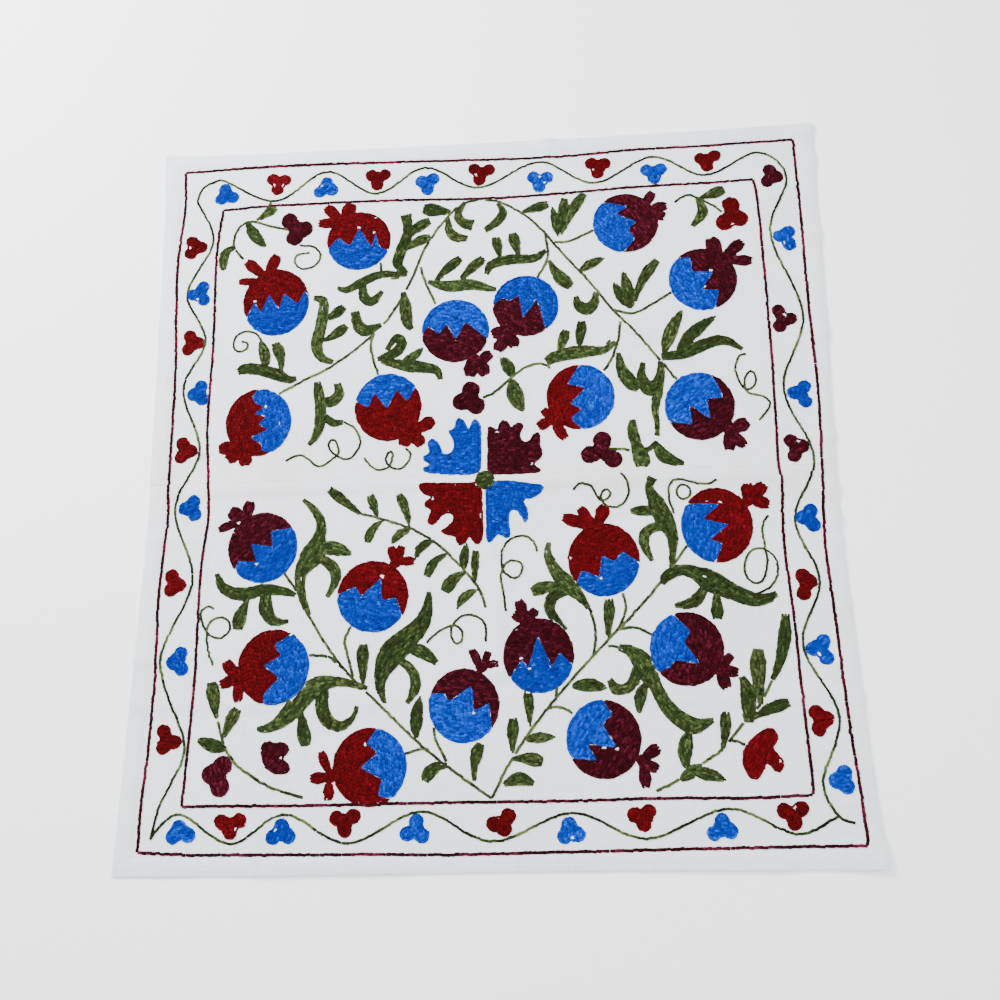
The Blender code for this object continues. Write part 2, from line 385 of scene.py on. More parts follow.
# Along the loop from 0 to 1: how far each side stands off its middle line, the height of the yarn's
# core over the cloth and the yarn's radius, in millimetres.
LOOP_RINGS = (
    (0.0, 0.20, 0.35, 0.0), (0.09, 0.50, 0.68, 0.78), (0.86, 0.64, 0.62, 0.82), (1.0, 0.40, 0.20, 0.0),
)
THREAD_RINGS = (
    (0.0, 0.0, -0.25, 0.0), (0.2, 0.0, 0.15, 0.30), (0.8, 0.0, 0.15, 0.30), (1.0, 0.0, -0.25, 0.0),
)
BALL_HEIGHTS = (-0.5, -0.25, 0.25, 0.5)
BALL_RING_RADIUS = 0.433

Template = namedtuple("Template", "along aside lateral height faces")


def spindle(rings, side):
    """One strand of a stitch: a small ball whose rings are moved along and off the middle line."""
    bm = bmesh.new()
    bmesh.ops.create_uvsphere(bm, u_segments=4, v_segments=3, radius=0.5)
    bmesh.ops.triangulate(bm, faces=bm.faces[:])
    bmesh.ops.recalc_face_normals(bm, faces=bm.faces[:])
    bm.verts.index_update()
    places = []
    for vert in bm.verts:
        along, off, height, radius = rings[int(np.argmin([abs(vert.co.z - z) for z in BALL_HEIGHTS]))]
        lateral = vert.co.y / BALL_RING_RADIUS * radius
        rise = -vert.co.x / BALL_RING_RADIUS * radius
        places.append((along, side * off, lateral, height + rise))
    faces = [[vert.index for vert in face.verts] for face in bm.faces]
    bm.free()
    return np.array(places), np.array(faces)


def make_template(rings, sides):
    """Join the strands of one stitch."""
    places, faces = [], []
    for side in sides:
        strand, strand_faces = spindle(rings, side)
        faces.append(strand_faces + sum(len(other) for other in places))
        places.append(strand)
    along, aside, lateral, height = np.vstack(places).T
    return Template(along, aside, lateral, height, np.vstack(faces))


CHAIN = make_template(LOOP_RINGS, (-1.0, 1.0))
THREAD = make_template(THREAD_RINGS, (0.0,))
print("faces in a chain stitch:", len(CHAIN.faces))

# %% [markdown]
# ## Rows of stitches
#
# The embroiderer draws a line on the cloth and works along it in whole stitches. So a row here
# is a path, cut into equal steps of about half a centimetre, with a little unevenness from the
# hand. A path is a smooth curve through a few points. What has been stitched already is kept on
# a map of one-millimetre squares, so that a leaf stops where it meets a fruit.

# %% Paths
rng = np.random.default_rng(20)
PATH_STEP = 0.1
SHORTEST_RUN = 3


def even(path, closed=False):
    """The same path with a point every millimetre. Extra columns, such as a width, follow along."""
    path = np.asarray(path, dtype=float)
    if closed:
        path = np.vstack([path, path[:1]])
    travelled = np.concatenate([[0.0], np.cumsum(np.hypot(*np.diff(path[:, :2], axis=0).T))])
    count = max(2, round(travelled[-1] / PATH_STEP))
    marks = np.linspace(0.0, travelled[-1], count + 1)
    if closed:
        marks = marks[:-1]
    return np.column_stack([np.interp(marks, travelled, column) for column in path.T])


def smooth_path(points):
    """A smooth curve through all of the points."""
    knots = np.array(points, dtype=float)
    knots = np.vstack([2.0 * knots[0] - knots[1], knots, 2.0 * knots[-1] - knots[-2]])
    t = np.linspace(0.0, 1.0, 12, endpoint=False)[:, None]
    bends = []
    for before, start, end, after in zip(knots, knots[1:], knots[2:], knots[3:]):
        square = 2.0 * before - 5.0 * start + 4.0 * end - after
        cube = 3.0 * start - before - 3.0 * end + after
        bends.append(start + 0.5 * ((end - before) * t + square * t ** 2 + cube * t ** 3))
    bends.append(knots[-2:-1])
    return even(np.vstack(bends))


def normals(path, closed=False):
    """Unit directions to the left of a path, one for each of its points."""
    flat = path[:, :2]
    if closed:
        run = np.roll(flat, -1, axis=0) - np.roll(flat, 1, axis=0)
    else:
        run = np.gradient(flat, axis=0)
    run = run / np.maximum(np.hypot(run[:, 0], run[:, 1]), 1e-9)[:, None]
    return np.column_stack([-run[:, 1], run[:, 0]])


def stretches(path, fits, closed=False):
    """The runs of a path whose points all fit."""
    if closed and fits.all():
        return [np.vstack([path, path[:1]])]
    if closed and fits.any():
        start = int(np.argmin(fits))
        path, fits = np.roll(path, -start, axis=0), np.roll(fits, -start)
    edges = np.flatnonzero(np.diff(np.concatenate([[0], fits.astype(int), [0]])))
    return [path[a:b] for a, b in zip(edges[::2], edges[1::2]) if b - a >= SHORTEST_RUN]


# %% Whole stitches along a path
STITCH_SPREAD = 0.022
ANGLE_SPREAD = 0.05
WIDTH_SPREAD = 0.06
LENGTH_SPREAD = 0.06
HEIGHT_SPREAD = 0.09
# Each stitch's shade spreads at random: partly the yarn's own unevenness, partly painted light and shade on
# the loops.
TINT_SPREAD = 0.13
# One stitch in ten is darkened further: painted shade for the shadow in the gaps between rows.
SHADOWED_SHARE = 0.10
SHADOW_DARKENING = 0.30

Stitch = namedtuple("Stitch", "x y angle length width height tint")


def along_row(path, width=1.0, tint=0.5, drift=0.0, length=LINK):
    """Cut one row into whole stitches. A row of many colours drifts from dark to light."""
    path = path[:, :2]
    travelled = np.concatenate([[0.0], np.cumsum(np.hypot(*np.diff(path, axis=0).T))])
    total = travelled[-1]
    count = max(1, round(total / (length / OVERLAP)))
    step = total / count
    starts = np.arange(count) * step
    ends = np.minimum(starts + step * OVERLAP, total)
    ax, ay = (np.interp(starts, travelled, column) for column in path.T)
    bx, by = (np.interp(ends, travelled, column) for column in path.T)
    angle = np.arctan2(by - ay, bx - ax) + rng.normal(0.0, ANGLE_SPREAD, count)
    reach = np.maximum(np.hypot(bx - ax, by - ay), 0.25) * (1.0 + rng.normal(0.0, LENGTH_SPREAD, count))
    phase = rng.uniform(0.0, 2.0 * math.pi, 2)
    slow = np.sin(starts / 2.3 + phase[0]) + np.sin(starts / 0.9 + phase[1])
    shade = tint + 0.5 * drift * slow + rng.normal(0.0, TINT_SPREAD, count)
    # Painted shade: a random few stitches are darkened to stand for the shadow between rows.
    shade = shade - SHADOW_DARKENING * (rng.uniform(size=count) < SHADOWED_SHARE)
    return np.column_stack([
        ax + rng.normal(0.0, STITCH_SPREAD, count),
        ay + rng.normal(0.0, STITCH_SPREAD, count),
        angle,
        reach,
        width * (1.0 + rng.normal(0.0, WIDTH_SPREAD, count)),
        1.0 + rng.normal(0.0, HEIGHT_SPREAD, count),
        np.clip(shade, 0.0, 1.0),
    ])


# %% The map of what is stitched, and laying rows on it
MAP_HALF = 50.0
MAP_CELL = 0.1
YARNS = ("blue", "crimson", "maroon", "green", "dark_green")
stitched = np.zeros((int(2 * MAP_HALF / MAP_CELL),) * 2, dtype=int)
worked = {yarn: [] for yarn in YARNS}


def cells(x, y):
    """Squares of the map for points of the cloth."""
    column = ((x + MAP_HALF) / MAP_CELL).astype(int)
    row = ((y + MAP_HALF) / MAP_CELL).astype(int)
    return np.clip(row, 0, len(stitched) - 1), np.clip(column, 0, len(stitched) - 1)


def lay(yarn, rows, over=False, **manner):
    """Work rows of chain stitch, leaving out the stitches that would land on older ones."""
    if not rows:
        return
    links = np.vstack([along_row(path, **manner) for path in rows])
    x, y, angle, length = links[:, :4].T
    if not over:
        hits = 0
        for part in (0.2, 0.5, 0.8):
            spot = x + part * length * np.cos(angle), y + part * length * np.sin(angle)
            hits = hits + (stitched[cells(*spot)] > 0)
        links = links[hits < 2]
        x, y, angle, length = links[:, :4].T
    for part in (0.1, 0.3, 0.5, 0.7, 0.9):
        for side in (-0.4, 0.0, 0.4):
            spot_x = x + part * length * np.cos(angle) - side * ROW * np.sin(angle)
            spot_y = y + part * length * np.sin(angle) + side * ROW * np.cos(angle)
            stitched[cells(spot_x, spot_y)] = 1 + YARNS.index(yarn)
    worked[yarn].append(links)


# %% [markdown]
# ## Filling a shape
#
# A shape is filled the way it is worked by hand: one row follows its outline, just inside it,
# and straight or slightly wavy rows fill the rest. To know how deep a point lies, its distance to
# every side of the outline is measured. Leaves are different: their rows follow both edges and
# meet in the middle.

# %% Depth inside an outline


def depth_inside(points, outline):
    """Distance from points to a closed outline, negative outside."""
    run = np.roll(outline, -1, axis=0) - outline
    square = np.maximum((run ** 2).sum(axis=1), 1e-9)
    x, y = points[:, :1], points[:, 1:2]
    to_x, to_y = x - outline[:, 0], y - outline[:, 1]
    t = np.clip((to_x * run[:, 0] + to_y * run[:, 1]) / square, 0.0, 1.0)
    away = np.hypot(to_x - t * run[:, 0], to_y - t * run[:, 1]).min(axis=1)
    passes = (to_y < 0.0) != (np.roll(to_y, -1, axis=1) < 0.0)
    rise = np.where(np.abs(run[:, 1]) < 1e-9, 1e-9, run[:, 1])
    left_of = x < outline[:, 0] + to_y / rise * run[:, 0]
    inside = (passes & left_of).sum(axis=1) % 2 == 1
    return np.where(inside, away, -away)


# %% Filling a patch
EDGE_FROM = 0.40
FILL_FROM = 0.92


def tips(yarn, outline):
    """One tapering stitch out into each sharp corner, where the rows don't reach."""
    before, after = np.roll(outline, 1, axis=0) - outline, np.roll(outline, -1, axis=0) - outline
    before, after = (side / np.hypot(*side.T)[:, None] for side in (before, after))
    turned = math.copysign(1.0, np.cross(outline, np.roll(outline, -1, axis=0)).sum())
    sharp = (turned * np.cross(before, after) < 0.0) & ((before * after).sum(axis=1) > 0.25)
    rows = []
    for corner, inward in zip(outline[sharp], (before + after)[sharp]):
        inward = inward / np.hypot(*inward)
        rows.append(corner + inward * np.linspace(0.12, 0.85, 8)[:, None])
    lay(yarn, rows, over=True, width=0.55, length=0.9)


def patch(yarn, outline, lean, wave=0.0, **manner):
    """Fill a closed shape: a row inside its outline, then rows that lean at an angle in degrees."""
    outline = even(outline, closed=True)
    area = np.cross(outline, np.roll(outline, -1, axis=0)).sum()
    edge = outline + math.copysign(ROW / 2, area) * normals(outline, closed=True)
    rows = stretches(edge, depth_inside(edge, outline) > EDGE_FROM * ROW, closed=True)
    angle = math.radians(lean)
    along = np.array((math.cos(angle), math.sin(angle)))
    across = np.array((-math.sin(angle), math.cos(angle)))
    steps = np.arange((outline @ along).min(), (outline @ along).max(), PATH_STEP)
    offsets = np.arange((outline @ across).min() + 1.4 * ROW, (outline @ across).max(), ROW)
    sway = wave * np.sin(steps * 2.6) + 0.4 * wave * np.sin(steps * 5.3 + 1.0)
    sheet = steps[None, :, None] * along + (offsets[:, None] + sway)[:, :, None] * across
    fits = depth_inside(sheet.reshape(-1, 2), outline).reshape(len(offsets), -1) > FILL_FROM * ROW
    for number, (path, fit) in enumerate(zip(sheet, fits)):
        for run in stretches(path, fit):
            rows.append(run[::-1] if number % 2 else run)
    lay(yarn, rows, **manner)


# %% Filling a leaf
def leaf(yarn, points, **manner):
    """Fill a leaf whose spine is given as (x, y, width) points: rows follow both of its edges."""
    spine = smooth_path(points)
    half = np.maximum(spine[:, 2], ROW) / 2
    off = normals(spine)
    middle = spine[:, :2]
    rows = []
    for number in range(int(half.max() / ROW) + 1):
        inset = half - ROW * (number + 0.5)
        for side in (-1.0, 1.0):
            rows += stretches(middle + side * inset[:, None] * off, inset > 0.4 * ROW)
    innermost = (half - 0.9 * ROW) % ROW + 0.4 * ROW
    open_middle = (half < 0.9 * ROW) | (innermost > 0.6 * ROW)
    open_middle = np.convolve(open_middle, np.ones(7), "same") > 0.0
    rows += stretches(middle, open_middle)
    lay(yarn, rows, **manner)


LEAF_FORMS = {
    "leaf": (0.25, 0.85, 1.0, 0.75, 0.2),
    "club": (0.25, 0.55, 0.85, 1.0, 0.6),
    "petal": (0.55, 0.75, 0.95, 1.0, 0.55),
}


def short_leaf(yarn, x0, y0, x1, y1, width, bow=0.0, form="leaf", **manner):
    """A leaf from its base to its tip, bowed sideways if it bends."""
    length = math.hypot(x1 - x0, y1 - y0)
    aside = (-(y1 - y0) / length * bow, (x1 - x0) / length * bow)
    points = []
    for t, share in zip((0.0, 0.25, 0.5, 0.75, 1.0), LEAF_FORMS[form]):
        arch = math.sin(math.pi * t)
        x = x0 + (x1 - x0) * t + aside[0] * arch
        y = y0 + (y1 - y0) * t + aside[1] * arch
        points.append((x, y, width * share))
    leaf(yarn, points, **manner)


# %% [markdown]
# ## Pomegranates
#
# Twenty pomegranates carry the design. Each is a disc of about nine centimetres, split by a
# zigzag into a blue part and a red one, with a crown of three petals. The zigzag is given by its
# points, from one place on the rim to the other; two arcs close the two parts. Two red yarns are
# used, so some fruits are crimson and some maroon.

# %% The fruits
Fruit = namedtuple("Fruit", "x y wide tall flesh blue_towards teeth petals")
FRUITS = [Fruit(*row) for row in (
    (-28.4, 25.2, 4.5, 4.9, "crimson", -85,
     ((-32.3, 23.1), (-31.3, 25.3), (-30.4, 23.7), (-29.4, 26.4), (-27.9, 24.1), (-27.4, 26.5),
      (-25.4, 24.8), (-24.5, 26.8), (-23.9, 25.8)),
     ((-30.0, 29.0, -32.8, 31.5, 1.2), (-29.8, 29.2, -28.5, 32.3, 1.3), (-31.0, 28.6, -33.7, 28.4, 0.7))),
    (-17.3, 33.9, 4.4, 4.4, "crimson", -88,
     ((-21.6, 32.8), (-20.1, 34.5), (-18.5, 33.1), (-17.25, 35.8), (-15.5, 32.8), (-15.0, 35.1),
      (-14.5, 32.8), (-13.1, 32.2)),
     ((-19.7, 36.8, -23.0, 36.8, 1.1), (-19.8, 37.0, -22.0, 39.4, 1.2), (-19.4, 37.0, -18.4, 39.7, 1.5))),
    (19.0, 34.8, 4.4, 4.4, "maroon", 210,
     ((16.0, 38.1), (19.5, 37.3), (17.8, 36.2), (20.5, 34.9), (19.3, 33.9), (20.2, 32.3), (18.5, 30.5)),
     ((21.6, 37.2, 22.9, 39.3, 1.0), (22.2, 36.8, 24.7, 37.1, 1.1), (22.6, 36.3, 24.3, 35.4, 1.1))),
    (28.8, 26.0, 4.5, 4.5, "maroon", 210,
     ((25.65, 29.25), (27.4, 29.25), (27.5, 27.1), (30.3, 27.1), (28.6, 24.5), (30.9, 24.4), (30.1, 21.9)),
     ((31.2, 29.2, 30.1, 32.0, 1.7), (31.9, 29.2, 34.4, 31.3, 1.3), (32.4, 28.6, 35.4, 28.4, 1.2))),
    (-4.1, 20.0, 4.5, 4.5, "maroon", 90,
     ((-8.3, 19.6), (-7.7, 20.8), (-6.25, 19.5), (-5.3, 21.0), (-4.0, 18.7), (-2.8, 21.2), (0.1, 18.7)),
     ((-1.4, 15.3, 0.7, 16.6, 1.2), (-1.8, 16.2, -2.2, 13.4, 1.5), (-1.0, 15.8, -0.15, 13.5, 1.4))),
    (5.3, 23.2, 4.4, 4.4, "maroon", 65,
     ((1.0, 23.5), (2.4, 24.5), (3.0, 23.9), (4.4, 24.8), (4.9, 21.4), (6.8, 24.0), (7.95, 19.6)),
     ((2.6, 19.9, 0.7, 19.2, 1.3), (2.9, 19.5, 1.4, 16.9, 1.4), (3.4, 19.3, 3.7, 17.3, 1.3))),
    (-30.05, 8.07, 4.37, 4.66, "crimson", 0,
     ((-30.1, 12.6), (-31.1, 11.7), (-30.7, 10.8), (-29.4, 10.2), (-30.7, 9.2), (-29.0, 8.9), (-30.1, 7.8),
      (-28.7, 7.0), (-31.1, 6.0), (-29.4, 5.0), (-29.6, 4.3), (-28.4, 3.6)),
     ((-32.2, 5.0, -35.2, 4.45, 1.4), (-32.0, 4.6, -33.95, 2.95, 1.5), (-31.7, 4.4, -31.5, 2.15, 1.4))),
    (-12.95, 9.55, 4.42, 4.7, "crimson", 90,
     ((-17.3, 10.5), (-15.5, 9.5), (-14.8, 11.6), (-13.1, 9.3), (-11.8, 11.9), (-10.45, 10.2), (-9.4, 12.2)),
     ((-9.6, 6.0, -6.9, 7.6, 1.35), (-9.7, 6.2, -8.5, 4.05, 1.3), (-10.2, 6.0, -10.9, 4.15, 1.4))),
    (12.15, 10.02, 4.42, 4.5, "crimson", 0,
     ((12.2, 14.4), (10.45, 11.8), (12.8, 11.2), (10.7, 9.1), (12.3, 8.3), (10.8, 7.1), (12.2, 5.7)),
     ((8.4, 7.1, 7.2, 8.5, 0.8), (8.6, 7.1, 6.5, 6.1, 1.1), (8.5, 6.7, 10.05, 4.35, 1.05))),
    (27.33, 8.18, 4.48, 4.62, "maroon", 135,
     ((23.6, 6.3), (26.3, 5.7), (26.0, 8.4), (28.6, 6.3), (28.3, 9.07), (30.4, 9.2), (29.85, 10.9),
      (28.95, 12.4)),
     ((30.8, 4.5, 33.3, 5.9, 1.5), (30.8, 4.7, 32.7, 2.5, 1.1), (30.9, 4.9, 30.7, 2.1, 1.3))),
    (-28.75, -8.82, 4.47, 4.6, "maroon", -45,
     ((-32.3, -11.8), (-31.9, -10.5), (-29.4, -10.7), (-30.3, -8.3), (-27.4, -8.8), (-27.8, -6.7),
      (-25.0, -6.4)),
     ((-31.1, -5.0, -30.6, -2.6, 1.15), (-31.3, -4.9, -33.3, -3.9, 1.5), (-31.3, -4.95, -34.6, -6.4, 0.75))),
    (-14.52, -15.5, 4.52, 4.55, "crimson", -95,
     ((-18.9, -15.3), (-17.2, -14.4), (-16.7, -14.2), (-16.0, -15.5), (-13.5, -13.1), (-13.4, -16.05),
      (-11.6, -15.7), (-10.9, -18.0)),
     ((-11.8, -11.4, -12.35, -9.1, 0.8), (-11.6, -11.3, -10.95, -9.1, 0.8),
      (-11.8, -11.1, -9.35, -11.1, 0.8))),
    (-26.75, -24.03, 4.5, 4.68, "crimson", 0,
     ((-24.6, -20.0), (-26.8, -21.3), (-25.8, -22.6), (-28.0, -23.9), (-26.0, -25.4), (-27.8, -27.3),
      (-27.8, -28.5)),
     ((-31.4, -25.3, -32.8, -23.15, 1.15), (-31.0, -25.3, -33.4, -26.1, 1.0),
      (-31.2, -25.6, -30.95, -28.3, 0.9))),
    (-14.57, -36.25, 4.5, 4.65, "crimson", 0,
     ((-13.75, -31.8), (-15.0, -33.5), (-13.6, -34.6), (-15.7, -36.3), (-13.1, -37.7), (-13.5, -39.7),
      (-12.0, -39.8)),
     ((-19.4, -37.0, -20.55, -34.3, 0.75), (-19.0, -37.3, -21.8, -37.5, 1.0),
      (-19.4, -37.6, -19.5, -40.1, 0.9))),
    (-3.2, -29.2, 4.32, 4.5, "maroon", -90,
     ((-7.2, -27.8), (-5.6, -27.6), (-5.0, -28.7), (-2.2, -26.8), (-2.0, -29.9), (-0.1, -28.9), (0.1, -32.0)),
     ((-1.1, -24.8, -2.2, -22.4, 0.8), (-0.9, -24.6, -0.1, -22.7, 0.6), (-1.1, -24.4, 1.1, -24.25, 0.6))),
    (5.97, -23.35, 4.35, 4.6, "maroon", -90,
     ((2.5, -26.0), (3.9, -23.8), (4.7, -24.8), (5.9, -20.9), (7.6, -24.8), (8.5, -23.0), (10.0, -24.6)),
     ((4.5, -18.9, 3.6, -16.4, 1.0), (4.6, -19.2, 2.9, -18.15, 0.9), (4.8, -18.9, 5.8, -17.65, 0.9))),
    (14.33, -11.62, 4.47, 4.65, "crimson", -80,
     ((10.9, -14.5), (11.5, -12.9), (13.75, -13.8), (14.1, -11.05), (15.6, -11.95), (16.7, -10.6),
      (18.6, -12.2)),
     ((13.1, -7.4, 9.35, -6.0, 1.2), (13.2, -7.3, 11.5, -4.85, 1.0), (13.7, -7.2, 14.75, -4.6, 1.3))),
    (28.5, -7.62, 4.45, 4.84, "crimson", 180,
     ((25.0, -4.8), (29.1, -4.9), (26.8, -6.8), (30.0, -7.6), (27.5, -9.5), (29.1, -9.9), (28.0, -12.3)),
     ((32.5, -4.8, 32.6, -2.35, 1.2), (32.6, -4.7, 34.75, -2.5, 1.3), (32.5, -4.3, 35.15, -5.2, 1.2))),
    (23.92, -22.95, 4.5, 4.52, "maroon", 180,
     ((22.5, -18.7), (24.5, -20.9), (23.6, -22.1), (25.4, -24.8), (22.25, -24.3), (22.0, -25.1),
      (20.4, -25.7)),
     ((27.8, -25.0, 29.3, -23.8, 0.75), (27.6, -25.5, 29.9, -25.95, 1.0), (27.6, -25.6, 28.4, -27.8, 1.2))),
    (13.5, -33.5, 4.48, 4.65, "maroon", 150,
     ((13.5, -29.0), (14.66, -30.6), (13.4, -31.7), (15.0, -34.5), (11.5, -34.05), (12.66, -36.0),
      (9.6, -35.6)),
     ((17.8, -35.9, 20.0, -34.5, 1.1), (17.9, -36.2, 19.8, -37.1, 1.0), (18.0, -36.0, 18.25, -39.2, 1.0))),
)]


# %% Working the fruits
def disc(x, y, radius):
    """The outline of a round patch."""
    angles = np.linspace(0.0, 2.0 * math.pi, 36, endpoint=False)
    return np.column_stack([x + radius * np.cos(angles), y + radius * np.sin(angles)])


def rim_arc(fruit, start, end, towards):
    """The arc of the rim between two angles that passes the given direction."""
    turn = (end - start) % (2.0 * math.pi)
    if (towards - start) % (2.0 * math.pi) > turn:
        turn -= 2.0 * math.pi
    angles = start + turn * np.linspace(0.0, 1.0, 24)[1:-1]
    return np.column_stack([fruit.x + fruit.wide * np.cos(angles), fruit.y + fruit.tall * np.sin(angles)])


NECK = 0.8
PETAL_WIDER = 0.45


def work_fruit(number, fruit):
    """Blue part, red part and the three petals of the crown."""
    teeth = np.array(fruit.teeth)
    centre = np.array((fruit.x, fruit.y))
    size = np.array((fruit.wide, fruit.tall))
    for end in (0, -1):
        teeth[end] = centre + size * (teeth[end] - centre) / size / np.hypot(*((teeth[end] - centre) / size))
    first, last = (math.atan2(*reversed((teeth[end] - centre) / size)) for end in (0, -1))
    towards = math.radians(fruit.blue_towards)
    lean = fruit.blue_towards + 90.0 + rng.uniform(-12.0, 12.0)
    blue_part = np.vstack([teeth, rim_arc(fruit, last, first, towards)])
    red_part = np.vstack([teeth, rim_arc(fruit, last, first, towards + math.pi)])
    patch("blue", blue_part, lean, wave=0.07, tint=0.5 + 0.04 * (number % 5 - 2))
    patch(fruit.flesh, red_part, lean, wave=0.02, tint=0.5 + 0.03 * (number % 3 - 1))
    tips("blue", blue_part)
    tips(fruit.flesh, red_part)
    neck_x, neck_y = np.mean([petal[:2] for petal in fruit.petals], axis=0)
    patch(fruit.flesh, disc(neck_x, neck_y, NECK), lean)
    for x0, y0, x1, y1, width in fruit.petals:
        short_leaf(fruit.flesh, x0, y0, x1, y1, width + PETAL_WIDER, form="petal")


for number, fruit in enumerate(FRUITS):
    work_fruit(number, fruit)
print("stitches in the fruits:", {yarn: sum(map(len, worked[yarn])) for yarn in YARNS})

# %% [markdown]
# ## Three-lobed flowers
#
# Small flowers of three round lobes stand in every bend of the border, and larger ones in the
# field. The outline of three overlapping discs is read by sending rays out from their middle and
# keeping the farthest disc on each.

# %% The three-lobed flowers
BORDER_LOBE = 0.93
FIELD_LOBE = 1.22
CROTCH = 0.85

Flower = namedtuple("Flower", "yarn x1 y1 x2 y2 x3 y3")
BORDER_FLOWERS = [Flower(*row) for row in (
    ("blue", -36.3, 42.8, -36.8, 41.3, -35.2, 41.5),
    ("crimson", -29.6, 44.0, -27.9, 43.8, -28.9, 42.4),
    ("blue", -22.0, 43.1, -22.9, 41.7, -21.2, 41.9),
    ("crimson", -15.7, 43.9, -13.9, 43.9, -14.9, 42.4),
    ("blue", -8.7, 42.6, -7.1, 42.9, -7.9, 41.3),
    ("crimson", -1.4, 44.1, 0.6, 43.9, -0.7, 42.4),
    ("blue", 6.7, 42.4, 8.6, 42.3, 7.5, 40.9),
    ("crimson", 14.7, 44.1, 16.5, 44.0, 15.5, 42.6),
    ("blue", 22.2, 42.7, 24.1, 42.8, 23.2, 41.4),
    ("crimson", 29.6, 44.1, 31.5, 44.4, 30.4, 42.9),
    ("maroon", 38.7, 41.8, 39.6, 40.7, 38.3, 40.1),
    ("blue", 39.3, 31.8, 40.5, 32.4, 40.5, 30.5),
    ("maroon", 38.3, 21.0, 39.7, 19.8, 38.3, 18.8),
    ("blue", 40.7, 10.3, 39.3, 9.5, 40.7, 8.3),
    ("maroon", 38.4, 3.1, 39.8, 2.3, 38.7, 1.1),
    ("blue", 40.1, -6.1, 39.0, -7.0, 40.3, -8.0),
    ("crimson", 38.4, -14.3, 39.3, -15.1, 38.4, -16.5),
    ("blue", 40.2, -22.4, 38.9, -23.3, 40.4, -24.4),
    ("crimson", 38.6, -30.8, 39.8, -31.6, 38.8, -32.8),
    ("blue", 41.3, -37.8, 40.2, -38.7, 41.4, -39.4),
    ("crimson", 34.0, -42.0, 36.0, -41.8, 35.1, -43.4),
    ("blue", 26.8, -43.0, 25.8, -44.4, 27.7, -44.2),
    ("crimson", 16.7, -42.2, 18.4, -41.9, 17.8, -43.3),
    ("blue", 9.1, -43.2, 8.5, -44.5, 10.1, -44.3),
    ("crimson", 0.2, -43.0, 2.0, -42.1, 1.5, -43.6),
    ("blue", -8.9, -42.6, -10.0, -44.0, -8.2, -44.2),
    ("crimson", -18.4, -42.1, -16.4, -41.9, -17.4, -43.5),
    ("blue", -25.0, -42.9, -26.0, -44.2, -24.1, -44.1),
    ("crimson", -32.3, -42.3, -30.1, -42.2, -31.2, -43.5),
    ("blue", -37.4, -42.9, -38.1, -44.0, -36.2, -43.8),
    ("crimson", -40.0, -31.6, -38.6, -32.9, -40.0, -33.5),
    ("blue", -38.5, -22.1, -39.4, -23.2, -38.3, -24.0),
    ("crimson", -40.3, -12.2, -39.2, -13.4, -40.3, -14.0),
    ("blue", -38.0, -2.5, -39.1, -3.4, -37.8, -4.2),
    ("crimson", -40.0, 5.5, -38.8, 4.4, -40.1, 3.6),
    ("blue", -38.0, 13.4, -39.0, 12.3, -37.7, 11.6),
    ("crimson", -40.0, 20.7, -38.8, 19.7, -40.1, 18.8),
    ("blue", -38.6, 27.9, -39.8, 26.8, -38.4, 26.0),
    ("crimson", -40.5, 34.8, -39.2, 34.0, -40.6, 33.1),
)]
FIELD_FLOWERS = [Flower(*row) for row in (
    ("maroon", -27.0, 37.4, -24.9, 36.1, -26.2, 34.8),
    ("crimson", 33.2, 36.8, 32.2, 34.2, 34.2, 34.7),
    ("maroon", -2.1, 11.5, -3.3, 9.9, -1.4, 9.3),
    ("maroon", 14.7, 4.0, 13.1, 2.1, 16.0, 1.4),
    ("maroon", -32.5, -35.8, -33.8, -36.8, -32.7, -38.3),
)]

# Two larger flowers whose lobes run together, as outlines.
HEART_FLOWER = (
    (-28.0, -34.2), (-27.8, -33.3), (-27.1, -32.8), (-26.2, -33.3), (-25.2, -33.0), (-24.4, -33.6),
    (-24.4, -34.4), (-25.3, -35.1), (-24.6, -35.5), (-24.1, -36.2), (-24.4, -36.9), (-25.4, -37.0),
    (-26.5, -36.8), (-27.5, -36.0),
)
TULIP_FLOWER = (
    (30.1, -34.4), (31.2, -33.4), (32.3, -32.7), (33.3, -32.4), (34.0, -33.2), (33.9, -34.2),
    (33.2, -34.8), (34.1, -35.8), (34.6, -37.0), (33.7, -38.0), (33.0, -37.2), (32.4, -36.4),
    (32.0, -37.6), (31.2, -38.6), (30.3, -38.4), (29.6, -36.9), (29.6, -35.6),
)


# %% Working the flowers
def flower_outline(flower, radius):
    """The outline round three discs, by rays from their middle."""
    lobes = np.array(flower[1:]).reshape(3, 2)
    centre = lobes.mean(axis=0)
    rays = np.radians(np.arange(0.0, 360.0, 6.0))
    reach = np.full(len(rays), CROTCH * radius)
    for off in lobes - centre:
        distance, direction = np.hypot(*off), math.atan2(off[1], off[0])
        beside = distance * np.sin(rays - direction)
        ahead = distance * np.cos(rays - direction)
        exit_at = ahead + np.sqrt(np.maximum(radius ** 2 - beside ** 2, 0.0))
        hit = (np.abs(beside) < radius) & (ahead > 0.0)
        reach = np.where(hit, np.maximum(reach, exit_at), reach)
    return centre + reach[:, None] * np.column_stack([np.cos(rays), np.sin(rays)])


def rounded(points):
    """Take the corners off an outline by cutting each of them once."""
    points = np.array(points)
    ahead = np.roll(points, -1, axis=0)
    return np.stack([0.82 * points + 0.18 * ahead, 0.18 * points + 0.82 * ahead], axis=1).reshape(-1, 2)


for flowers, radius in ((BORDER_FLOWERS, BORDER_LOBE), (FIELD_FLOWERS, FIELD_LOBE)):
    for flower in flowers:
        patch(flower.yarn, flower_outline(flower, radius), rng.uniform(0.0, 180.0), wave=0.03,
              tint=rng.uniform(0.38, 0.58))
patch("maroon", rounded(HEART_FLOWER), 50.0)
patch("crimson", rounded(TULIP_FLOWER), 65.0, tint=0.6)

